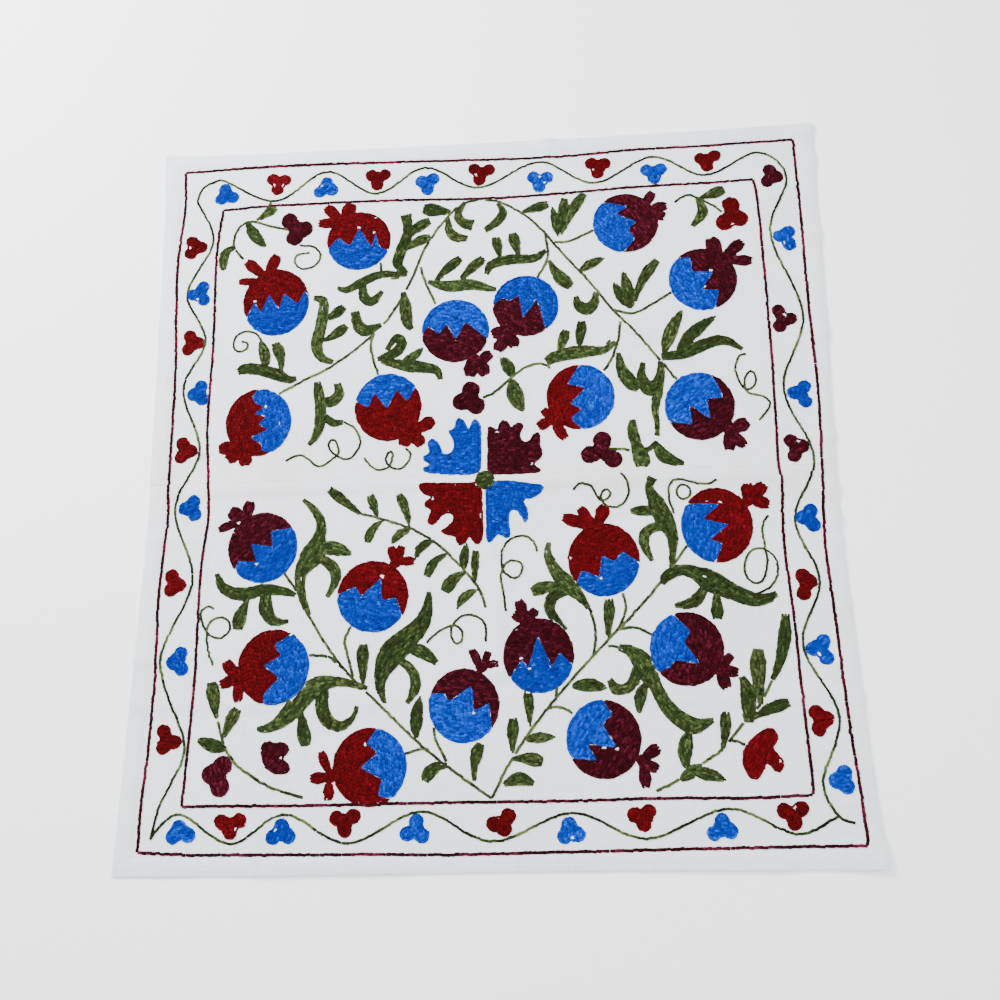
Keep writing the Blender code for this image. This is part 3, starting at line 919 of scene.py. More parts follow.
# %% [markdown]
# ## The middle rosette
#
# Where the panels meet, four quarters of a large flower stand around a green button, with a
# strip of bare cloth between them. Each quarter has two clean straight sides and a lobed rim
# with one deep bay. They were stitched before the panels were joined, so they don't quite match.

# %% The rosette
ROSETTE = (
    ("blue", 8.0, (
        (-0.85, 0.1), (-0.8, 3.0), (-0.72, 5.7), (-0.95, 7.0), (-1.6, 7.7), (-2.1, 7.0), (-2.35, 5.9),
        (-2.8, 7.0), (-3.6, 7.9), (-4.1, 7.4), (-4.2, 6.2), (-5.3, 6.1), (-4.7, 5.2), (-4.25, 4.3),
        (-4.5, 3.3), (-5.1, 2.7), (-5.8, 3.0), (-6.2, 4.2), (-6.6, 4.9), (-7.6, 5.0), (-7.8, 4.2),
        (-7.4, 3.0), (-8.7, 2.6), (-7.9, 1.8), (-7.2, 1.5), (-8.5, 1.1), (-8.2, 0.4), (-6.0, 0.1),
        (-3.0, -0.05))),
    ("maroon", 0.0, (
        (-0.1, -0.15), (-0.05, 3.0), (0.0, 6.6), (0.7, 6.4), (1.35, 5.7), (1.5, 6.9), (2.2, 7.4),
        (2.9, 6.9), (3.05, 5.9), (3.6, 6.8), (4.4, 6.9), (4.8, 6.3), (4.2, 5.4), (4.3, 4.5), (4.7, 4.15),
        (5.4, 4.2), (5.9, 5.1), (6.5, 5.6), (6.9, 5.0), (6.7, 3.7), (7.2, 2.6), (6.7, 1.7), (5.7, 1.0),
        (6.4, 0.8), (7.1, -0.1), (3.5, -0.2))),
    ("crimson", 4.0, (
        (-0.75, -1.15), (-0.7, -4.0), (-0.6, -7.7), (-0.9, -9.0), (-1.4, -9.4), (-2.0, -8.9), (-2.4, -8.0),
        (-2.8, -9.0), (-3.5, -9.4), (-4.1, -8.9), (-4.2, -8.0), (-5.0, -8.0), (-6.3, -7.5), (-5.2, -6.8),
        (-4.4, -5.9), (-4.5, -5.2), (-5.3, -5.0), (-6.2, -5.6), (-6.8, -6.7), (-7.6, -6.6), (-7.8, -5.7),
        (-7.1, -4.5), (-8.2, -4.2), (-8.2, -3.5), (-7.0, -2.8), (-8.2, -2.6), (-8.9, -1.6), (-8.9, -0.95),
        (-5.0, -1.05))),
    ("blue", -10.0, (
        (-0.35, -1.3), (-0.3, -5.0), (-0.3, -9.1), (0.3, -9.2), (0.8, -8.4), (1.3, -7.8), (1.9, -8.5),
        (2.6, -8.6), (2.8, -7.6), (2.6, -6.4), (2.65, -5.4), (3.0, -4.8), (3.6, -4.9), (4.2, -5.7),
        (4.6, -6.8), (5.1, -6.2), (5.0, -4.6), (4.3, -3.6), (5.4, -3.5), (6.5, -3.0), (7.2, -2.1),
        (7.1, -1.7), (5.6, -1.5), (3.0, -1.0), (1.0, -0.95))),
)
BUTTON = (-0.35, -0.8, 1.3)


patch("green", disc(*BUTTON), 20.0)
for yarn, lean, outline in ROSETTE:
    patch(yarn, rounded(outline), lean, wave=0.05, tint=0.46)

# %% [markdown]
# ## Leaves
#
# Leafy branches fill the ground between the fruits. A curled leaf is a spine with a width at each
# point; a short one needs only its base, its tip and its widest measure. Where a branch forks,
# the forks are laid one after another and the later one stops at the earlier.

# %% Curled leaves, as (x, y, width) points along each spine
CURLED_LEAVES = (
    # upper left
    ((-10.6, 28.6, 0.5), (-11.9, 30.0, 1.1), (-11.7, 31.4, 1.3), (-11.1, 33.0, 1.4), (-10.6, 34.6, 1.3),
     (-10.6, 36.0, 1.2), (-10.9, 37.6, 1.4)),
    ((-20.1, 27.0, 0.3), (-18.8, 26.6, 0.8), (-16.5, 27.8, 1.1), (-14.0, 28.7, 0.9), (-10.6, 28.5, 0.4)),
    ((-16.6, 27.4, 0.6), (-16.5, 25.6, 1.2), (-15.4, 24.7, 1.2), (-13.9, 26.2, 0.4)),
    ((-23.3, 25.6, 0.5), (-22.0, 25.2, 1.0), (-21.9, 23.7, 1.3), (-22.25, 21.0, 1.4), (-22.7, 18.7, 1.4),
     (-22.0, 16.9, 1.0), (-20.4, 16.1, 0.5)),
    ((-25.2, 14.0, 0.4), (-26.2, 13.9, 0.9), (-27.9, 14.7, 1.5), (-30.2, 15.5, 1.4), (-32.1, 15.7, 1.4),
     (-33.2, 15.3, 0.6)),
    ((-17.6, 23.4, 0.9), (-17.25, 21.6, 1.3), (-16.1, 20.5, 1.5), (-14.0, 21.3, 0.4)),
    ((-11.1, 26.0, 0.4), (-10.8, 23.6, 1.5), (-10.5, 21.4, 1.2), (-9.9, 20.4, 0.4)),
    ((-7.8, 27.3, 0.4), (-5.1, 26.5, 1.4), (-1.9, 26.6, 1.4), (1.4, 25.7, 0.4)),
    ((-14.5, 16.4, 0.5), (-12.2, 17.1, 1.2), (-11.2, 18.5, 1.2), (-12.0, 19.3, 0.9), (-13.3, 17.6, 0.3)),
    ((-14.0, 16.1, 0.5), (-10.3, 15.2, 1.5), (-7.6, 14.8, 1.3), (-6.4, 14.3, 0.9), (-6.1, 13.1, 0.4)),
    ((-22.4, 13.5, 0.7), (-22.2, 11.9, 1.2), (-21.9, 10.0, 1.3), (-21.9, 7.6, 1.2), (-22.5, 5.7, 0.8),
     (-23.3, 4.7, 0.3)),
    ((-21.8, 10.6, 0.8), (-20.5, 10.6, 1.4), (-19.5, 11.5, 1.2), (-19.75, 13.2, 0.8)),
    ((-21.3, 8.6, 0.7), (-20.1, 7.6, 0.9), (-18.8, 7.7, 0.4)),
    ((-34.4, 33.8, 0.3), (-35.7, 33.1, 1.0), (-36.0, 31.6, 1.1), (-35.9, 30.3, 0.4)),
    ((-2.7, 39.1, 0.3), (-3.7, 37.3, 0.9), (-3.0, 35.9, 1.2), (-1.6, 35.5, 1.5)),
    ((-5.1, 36.9, 0.3), (-4.9, 34.8, 1.0), (-4.0, 33.8, 1.3), (-2.4, 33.5, 0.6)),
    # upper right
    ((1.7, 38.7, 0.3), (2.5, 37.3, 0.9), (1.6, 35.8, 1.1), (-0.1, 34.6, 0.5)),
    ((8.2, 31.2, 0.4), (6.5, 30.1, 1.0), (3.5, 30.1, 1.3), (0.8, 29.4, 1.1), (0.1, 28.1, 0.4)),
    ((14.7, 24.8, 0.4), (14.3, 23.1, 1.2), (13.3, 22.3, 1.5), (12.3, 23.0, 1.2), (12.0, 24.3, 0.4)),
    ((7.8, 15.0, 1.0), (9.2, 15.8, 1.5), (12.4, 16.3, 1.6), (15.3, 16.4, 0.9), (17.0, 17.5, 0.4)),
    ((22.8, 15.1, 0.8), (26.0, 15.6, 1.4), (29.0, 16.9, 1.4), (31.2, 17.1, 1.1), (33.3, 15.8, 0.3)),
    ((20.4, 14.5, 0.5), (20.1, 12.6, 1.0), (20.9, 10.9, 1.9), (22.0, 11.2, 1.6), (22.6, 13.0, 0.9),
     (22.6, 14.6, 0.4)),
    ((22.4, 12.0, 1.0), (22.1, 10.4, 1.2), (21.6, 7.9, 0.8), (21.8, 6.1, 0.5), (21.7, 4.3, 0.4)),
    ((18.7, 6.7, 0.6), (18.65, 5.0, 1.2), (19.1, 2.9, 1.3), (19.6, 1.3, 2.0), (19.6, 0.2, 1.3)),
    ((19.9, 2.3, 0.6), (20.9, 2.8, 0.5), (21.7, 3.6, 0.4)),
    ((21.5, 3.2, 0.6), (22.25, 1.8, 1.6), (23.4, 1.0, 1.2), (24.9, 0.55, 0.4)),
    ((17.25, 16.0, 0.4), (17.6, 13.6, 1.3), (18.7, 11.7, 1.7), (19.6, 10.7, 0.6)),
    ((28.8, 38.0, 0.4), (29.4, 35.9, 1.3), (27.9, 33.8, 0.4)),
    # lower left
    ((-24.3, -15.1, 0.4), (-25.6, -14.6, 0.9), (-28.2, -14.3, 1.3), (-31.3, -14.8, 1.5), (-33.6, -13.9, 1.1),
     (-34.5, -12.0, 0.4)),
    ((-28.1, -15.0, 1.2), (-28.0, -16.8, 1.6), (-27.0, -18.3, 1.1), (-25.1, -18.4, 0.3)),
    ((-23.8, -2.6, 0.3), (-22.25, -4.1, 0.8), (-21.35, -5.8, 1.0), (-21.5, -7.7, 1.5), (-22.3, -9.9, 2.8),
     (-23.6, -11.9, 1.6), (-23.8, -13.7, 1.1), (-23.2, -16.0, 0.7), (-22.5, -17.7, 0.4)),
    ((-21.4, -10.3, 0.9), (-19.6, -11.7, 1.3), (-19.3, -13.4, 1.0), (-20.3, -15.5, 0.3)),
    ((-7.5, -15.1, 0.4), (-7.7, -17.3, 1.2), (-8.5, -19.2, 2.0), (-10.3, -21.0, 2.7), (-12.2, -22.9, 3.0),
     (-13.3, -25.2, 1.7), (-13.4, -26.9, 0.9), (-12.8, -28.8, 0.3)),
    ((-10.4, -22.0, 0.8), (-8.3, -22.6, 1.5), (-6.5, -24.0, 0.5)),
    ((-10.9, -23.6, 0.8), (-9.5, -24.9, 1.0), (-9.1, -26.9, 1.1), (-10.1, -28.8, 0.3)),
    ((-15.0, -26.9, 0.4), (-16.6, -26.4, 0.7), (-18.6, -26.0, 1.0), (-20.7, -26.2, 1.8), (-22.5, -27.3, 2.4),
     (-24.1, -29.2, 2.2), (-25.7, -30.75, 1.5), (-27.25, -31.5, 0.9), (-28.5, -31.5, 0.3)),
    ((-20.5, -26.9, 1.2), (-20.5, -29.2, 1.5), (-19.75, -30.75, 1.4), (-18.2, -31.4, 1.0),
     (-16.8, -30.5, 0.5), (-16.2, -29.0, 0.3)),
    ((-2.0, -38.1, 0.3), (-2.0, -36.4, 0.7), (-1.7, -34.9, 1.4), (-1.2, -33.7, 0.8)),
    ((-5.2, -36.2, 0.4), (-6.6, -36.4, 1.1), (-7.5, -37.2, 1.4), (-7.9, -38.1, 0.6)),
    # lower right
    ((7.55, -9.2, 0.3), (7.4, -10.9, 0.9), (8.4, -13.0, 1.4), (9.9, -14.8, 2.0), (11.1, -16.1, 1.1),
     (12.2, -17.6, 0.5)),
    ((9.6, -15.5, 0.9), (8.1, -15.9, 1.3), (7.4, -17.4, 1.1), (8.1, -18.9, 0.9), (9.4, -20.3, 0.3)),
    ((20.9, -1.2, 1.1), (20.3, -2.5, 0.8), (21.2, -4.6, 1.9), (22.0, -6.6, 2.2), (22.9, -8.7, 1.3),
     (22.9, -10.25, 0.9), (22.7, -12.1, 0.5), (22.5, -12.8, 0.3)),
    ((21.3, -5.6, 0.8), (19.2, -5.5, 1.2), (17.9, -5.5, 0.4)),
    ((22.0, -7.6, 0.9), (20.3, -7.8, 1.1), (19.4, -8.8, 1.2), (19.5, -10.25, 1.0), (20.3, -12.0, 0.3)),
    ((21.3, -14.9, 0.4), (22.0, -13.9, 1.2), (23.6, -13.2, 1.2), (25.2, -13.5, 1.5), (27.25, -14.7, 2.6),
     (29.5, -15.9, 2.0), (32.25, -17.1, 1.6), (34.1, -17.0, 1.0), (35.2, -16.4, 0.5)),
    ((26.6, -15.3, 0.8), (25.5, -16.9, 1.3), (24.2, -17.5, 1.0), (22.7, -17.6, 0.3)),
    ((15.7, -22.6, 0.6), (17.0, -23.0, 1.2), (18.3, -24.2, 2.2), (19.1, -25.75, 2.2), (19.9, -27.3, 1.4),
     (20.9, -29.4, 1.5), (22.25, -31.0, 1.7), (24.0, -32.1, 1.9), (25.4, -31.9, 1.1), (26.6, -31.5, 0.3)),
    ((17.8, -25.1, 0.9), (17.5, -26.4, 1.2), (16.6, -27.5, 1.0), (15.2, -27.6, 1.2), (14.4, -26.4, 0.5)),
    ((33.8, -26.9, 0.4), (34.9, -24.6, 1.0), (35.7, -21.6, 1.4), (36.0, -18.9, 0.7)),
    ((30.7, -31.9, 0.9), (30.8, -29.6, 1.6), (30.7, -27.9, 1.4), (30.2, -26.4, 0.5)),
    ((1.5, -38.6, 0.3), (2.5, -38.1, 1.1), (3.6, -37.9, 1.4), (5.1, -38.5, 0.4)),
)

# %% Short leaves, from base to tip
SHORT_LEAVES = (
    (-4.7, 37.7, -8.5, 38.3, 1.9, 0.0, "club"), (4.9, 37.1, 8.7, 38.2, 1.3, 0.0, "club"),
    (-11.1, 33.4, -7.5, 36.5, 1.4, 0.4, "club"), (-11.4, 31.9, -7.4, 34.0, 1.3, 0.3, "club"),
    (-21.9, 22.2, -19.1, 24.2, 1.3, -0.2, "club"), (-21.9, 19.2, -18.7, 21.4, 1.3, -0.2, "club"),
    (-29.4, 15.6, -30.3, 19.7, 1.4, -0.2, "leaf"), (-27.3, 15.1, -28.3, 19.3, 1.4, -0.3, "club"),
    (-6.9, 27.2, -3.3, 30.6, 1.3, 0.2, "club"), (-3.7, 26.9, -0.2, 30.5, 1.3, 0.2, "club"),
    (-11.5, 15.6, -8.4, 17.8, 1.1, -0.3, "leaf"), (-31.4, 37.8, -29.0, 39.7, 1.3, 0.0, "club"),
    (-32.9, 37.4, -30.1, 33.6, 1.5, -0.3, "leaf"), (9.9, 33.2, 9.2, 37.8, 1.0, 0.0, "leaf"),
    (10.1, 33.4, 10.9, 39.0, 1.2, 0.0, "club"), (10.3, 33.4, 13.6, 39.6, 1.3, 0.3, "club"),
    (2.0, 30.2, 1.4, 33.6, 1.2, 0.0, "club"), (4.5, 30.4, 3.7, 34.1, 1.4, 0.0, "club"),
    (8.5, 29.7, 11.4, 25.7, 1.7, -0.3, "club"), (12.6, 27.9, 16.0, 29.7, 1.2, 0.2, "leaf"),
    (19.3, 22.2, 17.0, 26.1, 1.3, 0.2, "leaf"), (19.3, 22.3, 18.4, 27.6, 1.5, 0.0, "leaf"),
    (19.6, 22.8, 23.0, 29.1, 1.3, 0.5, "club"), (9.4, 16.0, 10.6, 19.5, 1.3, 0.0, "club"),
    (12.1, 16.5, 12.7, 20.7, 1.3, 0.0, "club"), (3.4, 13.1, 1.8, 16.0, 1.5, -0.2, "leaf"),
    (3.3, 12.8, 4.7, 8.3, 2.0, -0.3, "leaf"), (23.1, 15.5, 25.9, 21.7, 1.6, 0.3, "leaf"),
    (24.9, 15.9, 30.2, 20.6, 1.5, 0.4, "leaf"), (29.1, 38.0, 32.5, 39.2, 1.5, 0.0, "club"),
    (-30.3, -15.3, -31.5, -19.3, 1.6, -0.2, "club"), (-21.9, -9.2, -17.4, -10.0, 1.7, 0.4, "leaf"),
    (-23.2, -29.3, -22.4, -33.7, 1.6, 0.0, "club"), (-15.9, -5.0, -20.4, -1.4, 1.2, 0.1, "club"),
    (-14.1, -5.3, -15.1, -2.3, 1.1, 0.0, "club"), (-10.0, -6.7, -11.4, -2.3, 1.1, -0.2, "club"),
    (-3.1, -12.5, -2.7, -9.0, 1.1, 0.2, "leaf"), (-1.7, -14.5, -1.6, -10.0, 0.9, 0.1, "club"),
    (-13.3, -5.7, -15.3, -8.6, 1.1, -0.5, "club"), (-9.8, -7.0, -12.3, -8.9, 1.0, -0.4, "leaf"),
    (-6.8, -8.5, -9.3, -11.0, 1.0, -0.6, "leaf"), (-4.9, -10.2, -7.8, -13.2, 1.1, -0.6, "club"),
    (-2.9, -12.7, -5.5, -15.2, 1.6, -0.4, "club"), (-1.4, -15.0, -4.0, -17.4, 1.0, -0.5, "leaf"),
    (-9.0, -33.0, -8.5, -27.9, 1.4, 0.2, "leaf"), (-15.5, -26.5, -15.6, -21.4, 1.4, 0.1, "club"),
    (-33.5, -30.2, -34.4, -25.7, 1.6, 0.0, "club"), (-32.6, -32.6, -31.0, -29.0, 1.4, 0.1, "club"),
    (-32.1, -33.9, -35.8, -32.6, 1.5, 0.1, "leaf"), (2.6, -35.0, 2.7, -30.8, 1.3, 0.0, "club"),
    (2.5, -35.6, 6.2, -36.0, 1.5, 0.2, "club"), (4.1, -33.4, 7.8, -33.1, 1.1, 0.1, "leaf"),
    (4.7, -31.9, 4.5, -27.5, 1.1, -0.1, "club"), (9.9, -27.2, 14.1, -27.5, 1.5, 0.3, "leaf"),
    (14.5, -21.4, 14.8, -16.6, 1.3, 0.0, "club"), (9.0, -14.6, 5.3, -15.5, 1.5, -0.2, "club"),
    (27.9, -15.8, 27.8, -19.5, 1.4, 0.0, "club"), (18.8, -26.9, 17.8, -30.6, 1.3, -0.3, "leaf"),
    (23.7, -32.6, 23.1, -37.2, 1.6, -0.4, "leaf"), (32.2, -29.8, 32.4, -23.1, 1.8, 0.1, "club"),
    (30.9, -31.5, 35.6, -29.6, 1.3, 0.2, "club"), (27.3, -35.2, 28.0, -30.5, 1.2, -0.2, "club"),
    (23.4, -37.4, 27.6, -38.5, 1.3, 0.2, "leaf"), (22.2, -38.4, 24.9, -36.6, 1.3, 0.0, "leaf"),
)

# %% Working the leaves
LEAF_WIDER = 0.2

for number, points in enumerate(CURLED_LEAVES):
    wider = [(x, y, width + LEAF_WIDER) for x, y, width in points]
    leaf("green", wider, tint=0.5 + 0.05 * (number % 4 - 1.5))
for number, (x0, y0, x1, y1, width, bow, form) in enumerate(SHORT_LEAVES):
    short_leaf("green", x0, y0, x1, y1, width + LEAF_WIDER, bow, form, tint=0.5 + 0.05 * (number % 4 - 1.5))
print("green stitches in the leaves:", sum(map(len, worked["green"])))

# %% [markdown]
# ## Stems and tendrils
#
# Four long stems leave the middle of the top and bottom edges and run to the sides. They are one
# row of wide, open stitches. Tendrils are one row of small tight ones, and curl over themselves,
# which is why they are laid without asking the map.

# %% Stems
STEMS = (
    ((0.0, 39.3), (2.4, 38.7), (5.6, 36.5), (8.1, 33.8), (10.5, 30.5), (13.8, 26.4), (16.7, 22.2),
     (19.5, 19.0), (22.4, 15.0), (24.6, 11.9)),
    ((-0.5, 39.4), (-3.3, 38.7), (-5.6, 36.3), (-8.2, 32.3), (-10.0, 27.8), (-12.4, 23.2), (-15.0, 20.0),
     (-20.2, 15.8), (-24.7, 13.5), (-27.5, 12.0)),
    ((0.0, -40.1), (-3.5, -37.6), (-8.5, -33.7), (-13.5, -28.9), (-16.8, -25.7), (-19.8, -22.1),
     (-22.9, -17.1), (-24.5, -14.1), (-25.9, -12.2)),
    ((0.0, -40.1), (2.4, -35.8), (5.3, -31.7), (9.4, -26.9), (14.4, -21.7), (18.4, -17.8), (21.6, -14.1),
     (24.7, -10.1)),
    ((-8.8, 29.6), (-8.4, 28.0), (-6.8, 24.0)),
    ((-15.0, 20.0), (-15.4, 18.0), (-14.3, 14.1)),
    ((-14.3, 30.5), (-13.9, 28.9), (-12.6, 28.0), (-10.6, 28.5)),
    ((9.3, 32.4), (11.3, 32.4), (14.7, 33.9)),
    ((8.1, 33.8), (8.4, 31.6), (8.3, 29.8), (6.9, 27.2)),
    ((16.9, 22.2), (18.4, 21.6), (20.4, 21.8), (24.6, 24.3)),
    ((17.7, 20.5), (17.4, 18.2), (16.3, 15.0), (15.2, 13.5)),
    ((16.3, 17.8), (15.0, 16.3)),
    ((8.3, 14.1), (7.6, 14.75), (6.25, 14.8), (4.9, 14.3), (3.6, 13.3), (2.6, 12.5), (0.8, 10.9),
     (-0.6, 10.4)),
    ((15.4, 2.8), (17.0, 2.75), (18.6, 2.5)),
    ((25.7, 37.5), (27.3, 38.6), (28.6, 38.2), (30.7, 36.9), (31.9, 35.8)),
    ((-33.2, 31.9), (-34.6, 33.7), (-34.3, 36.3), (-32.5, 37.6), (-29.3, 36.6), (-27.2, 36.1)),
    ((-29.7, 40.5), (-30.3, 39.2), (-31.6, 37.8)),
    ((-22.4, -22.7), (-19.8, -23.0), (-16.8, -25.5)),
    ((-17.2, -19.2), (-17.9, -21.0), (-16.8, -25.5)),
    ((-10.4, -34.8), (-8.2, -34.2), (-7.4, -34.5)),
    ((-6.9, -31.7), (-6.5, -33.5), (-5.3, -35.8)),
    ((8.2, -27.1), (7.9, -28.5)),
    ((6.8, -29.7), (8.3, -29.6), (10.0, -30.4)),
    ((15.7, -20.4), (17.7, -20.2), (20.0, -21.2)),
    ((16.5, -15.9), (16.8, -17.8), (15.9, -20.2)),
    ((14.4, -22.4), (15.0, -22.4), (16.0, -22.7)),
    ((12.2, -17.6), (12.8, -19.4), (13.0, -21.0), (12.6, -23.5)),
    ((-16.0, -4.8), (-14.0, -5.4), (-10.0, -6.8), (-7.5, -8.3), (-5.6, -9.8), (-4.0, -11.5), (-2.4, -13.3),
     (-1.1, -15.2), (-0.45, -17.3)),
    ((-22.5, -39.7), (-26.6, -38.4), (-30.0, -36.4), (-31.6, -34.8), (-32.5, -33.2), (-33.4, -30.5)),
    ((19.4, -39.6), (22.5, -38.1), (25.0, -36.4), (27.0, -35.2), (28.4, -33.8), (29.8, -32.2), (31.3, -30.75),
     (32.5, -29.2), (33.8, -26.9)),
    ((28.4, -33.9), (29.1, -34.0), (30.1, -34.5)),
)

# %% Tendrils
TENDRILS = (
    ((-25.5, 33.6), (-23.6, 33.3), (-22.5, 32.0), (-23.2, 30.5), (-25.0, 30.0), (-26.1, 31.2), (-25.7, 32.2),
     (-24.0, 32.4)),
    ((-30.2, 19.6), (-30.7, 20.5), (-32.0, 21.1), (-33.4, 20.7), (-33.95, 19.4), (-33.4, 18.2), (-32.2, 18.5),
     (-32.0, 19.4), (-32.9, 19.7)),
    ((-18.8, 7.7), (-17.3, 6.8), (-16.5, 4.75), (-17.5, 2.9), (-18.6, 2.6), (-20.2, 3.6), (-20.7, 4.75),
     (-20.1, 5.4), (-19.5, 4.5), (-19.5, 3.2), (-21.8, 1.7), (-23.2, 2.7), (-24.5, 3.4), (-26.3, 2.6)),
    ((-10.6, 3.8), (-9.9, 2.9), (-10.6, 1.45), (-11.7, 1.0), (-12.8, 1.6), (-13.2, 2.3), (-12.8, 3.3),
     (-12.3, 3.4), (-12.3, 2.5), (-12.8, 1.3), (-14.2, 1.0), (-15.1, 1.6), (-16.0, 2.7)),
    ((33.7, 15.1), (32.8, 14.9), (32.2, 13.4), (32.4, 11.8), (33.2, 10.3), (34.1, 10.4), (34.7, 11.3),
     (34.5, 12.5), (34.1, 12.8), (33.4, 12.0), (33.2, 10.7), (33.6, 9.75), (34.75, 9.4), (35.9, 8.9),
     (36.2, 7.9), (34.7, 5.9)),
    ((10.8, -2.5), (11.25, -1.95), (12.3, -1.7), (13.2, -2.2), (13.75, -3.4), (14.4, -4.0), (15.2, -3.7),
     (15.5, -3.0), (15.0, -2.5), (14.4, -2.9), (14.3, -3.7), (14.5, -4.3), (15.5, -4.9), (16.5, -4.8),
     (17.4, -4.0), (17.8, -2.8), (17.5, -1.2), (16.8, -0.5)),
    ((23.3, -6.0), (22.8, -4.3), (22.8, -2.5), (23.5, -1.6), (24.5, -1.6), (25.7, -1.95), (27.7, -2.25),
     (28.8, -1.7)),
    ((25.0, -2.3), (24.2, -2.3), (23.7, -3.2), (24.2, -4.1), (25.1, -4.0), (25.5, -3.1), (25.0, -2.3)),
    ((35.0, -6.6), (34.3, -7.3), (34.0, -8.7), (34.2, -10.5), (34.3, -12.5), (33.95, -14.1), (33.2, -15.1),
     (32.1, -14.8), (31.5, -13.7), (31.7, -12.1), (32.6, -10.9), (33.8, -10.8), (35.1, -11.6), (35.55, -13.2),
     (35.2, -14.6), (34.3, -15.7), (32.7, -16.5)),
    ((-34.6, -16.6), (-35.4, -16.2), (-36.2, -16.8), (-36.2, -17.8), (-35.4, -19.4), (-34.5, -20.2),
     (-33.4, -20.2), (-32.5, -19.4), (-32.6, -18.25), (-33.5, -17.7), (-34.6, -17.9), (-35.3, -18.9),
     (-35.3, -20.5), (-34.9, -22.3), (-34.3, -23.7)),
    ((-7.8, -21.5), (-6.4, -20.2), (-4.7, -19.4), (-3.6, -19.8), (-3.3, -20.9), (-3.9, -21.7), (-4.7, -20.9),
     (-4.6, -19.5), (-3.6, -18.4), (-2.3, -18.1), (-0.9, -18.8), (-0.4, -20.0), (-0.5, -21.6)),
    ((6.1, -10.4), (5.8, -9.3), (4.9, -8.4), (3.75, -8.3), (2.6, -8.8), (1.75, -10.0), (1.6, -12.1),
     (2.2, -13.1), (3.3, -13.7), (4.1, -12.8), (4.1, -11.8), (3.1, -11.4), (2.2, -11.7), (1.6, -12.7),
     (1.5, -14.0), (1.8, -15.5), (2.05, -17.8)),
)

# %% Working stems and tendrils
STEM_WIDTH = 1.3
STEM_LINK = 0.72
TENDRIL_WIDTH = 1.1
TENDRIL_LINK = 0.5

for points in STEMS:
    lay("dark_green", [smooth_path(points)], width=STEM_WIDTH, tint=0.62, drift=0.25, length=STEM_LINK)
for points in TENDRILS:
    lay("dark_green", [smooth_path(points)], over=True, width=TENDRIL_WIDTH, tint=0.5, drift=0.3,
        length=TENDRIL_LINK)

# %% [markdown]
# ## Borders
#
# Two straight rows of dark red frame a band, and a wavy green stem runs round it. The red yarn
# was dyed unevenly, so a row goes from nearly black to crimson every few centimetres: the drift
# of a row does that. Each side is its own row, which keeps the corners sharp.

# %% Border rows, each side as its own points
BORDER_ROWS = (
    # outer frame: left, right, top, bottom
    ((-42.1, 45.7), (-41.8, 40.0), (-42.3, 32.0), (-42.1, 25.0), (-41.6, 15.0), (-41.5, 0.0), (-41.3, -5.0),
     (-41.8, -15.0), (-41.55, -25.0), (-41.85, -35.0), (-42.2, -40.0), (-42.25, -45.7)),
    ((42.2, 46.3), (42.3, 35.0), (42.25, 20.0), (42.4, 10.0), (42.0, 0.0), (41.5, -10.0), (41.9, -20.0),
     (42.25, -30.0), (42.55, -35.0), (42.9, -40.0), (43.15, -45.0), (43.0, -46.0)),
    ((-42.1, 45.7), (-30.0, 46.0), (-15.0, 45.85), (0.0, 45.5), (10.0, 45.4), (20.0, 45.9), (30.0, 46.0),
     (42.2, 46.3)),
    ((-42.25, -45.7), (-35.0, -46.1), (-15.0, -46.25), (-5.0, -46.4), (10.0, -46.25), (30.0, -46.05),
     (43.0, -46.0)),
    # inner frame
    ((-36.45, 39.5), (-37.0, 32.0), (-36.7, 20.0), (-36.85, 8.0), (-36.25, 0.0), (-36.0, -5.0),
     (-36.6, -12.0), (-36.55, -25.0), (-36.95, -35.0), (-37.25, -40.5)),
    ((36.5, 40.5), (36.85, 35.0), (36.95, 15.0), (36.65, 0.0), (36.9, -2.0), (36.55, -10.0), (37.0, -20.0),
     (37.25, -30.0), (37.55, -39.0), (37.4, -40.2)),
    ((-36.45, 39.5), (-30.0, 39.85), (-15.0, 39.9), (0.0, 39.5), (10.0, 39.7), (20.0, 40.15), (30.0, 40.3),
     (36.5, 40.5)),
    ((-37.25, -40.5), (-20.0, -40.6), (-5.0, -40.5), (8.0, -40.55), (20.0, -40.4), (30.0, -40.5),
     (37.4, -40.3)),
)

# The wavy stem: its crests, and halfway between them it crosses at a slant.
WAVY_STEM = (
    ((-40.15, 41.0), (-37.55, 34.7), (-40.7, 27.0), (-37.8, 20.0), (-40.4, 13.0), (-37.7, 4.4),
     (-40.45, -3.5), (-37.6, -12.9), (-41.0, -23.0), (-37.4, -33.0), (-38.6, -37.5), (-40.0, -40.5),
     (-40.8, -44.3)),
    ((-37.0, 44.4), (-29.1, 40.6), (-22.0, 44.8), (-15.0, 41.0), (-8.2, 44.7), (-0.9, 41.2), (7.5, 44.7),
     (15.0, 41.1), (23.0, 44.7), (30.0, 41.5), (37.3, 44.6), (40.9, 40.5), (38.1, 32.3), (41.4, 20.3),
     (38.1, 10.3), (41.1, 0.8), (38.1, -7.2), (40.45, -15.0), (37.75, -22.8), (41.25, -31.3), (38.75, -38.8),
     (40.2, -42.7), (42.0, -43.5)),
    ((-40.8, -44.3), (-39.6, -42.6), (-37.0, -41.5), (-31.0, -44.9), (-24.7, -41.6), (-17.0, -45.0),
     (-8.3, -41.5), (0.0, -45.0), (9.5, -41.9), (18.0, -44.9), (27.6, -41.7), (35.2, -44.6),
     (40.2, -42.7)),
    ((-40.15, 41.0), (-39.4, 43.2), (-37.0, 44.4)),
)


# %% Working the borders
BORDER_WIDTH = 1.4
BORDER_LINK = 0.66
WAVY_WIDTH = 1.2
WAVY_LINK = 0.6

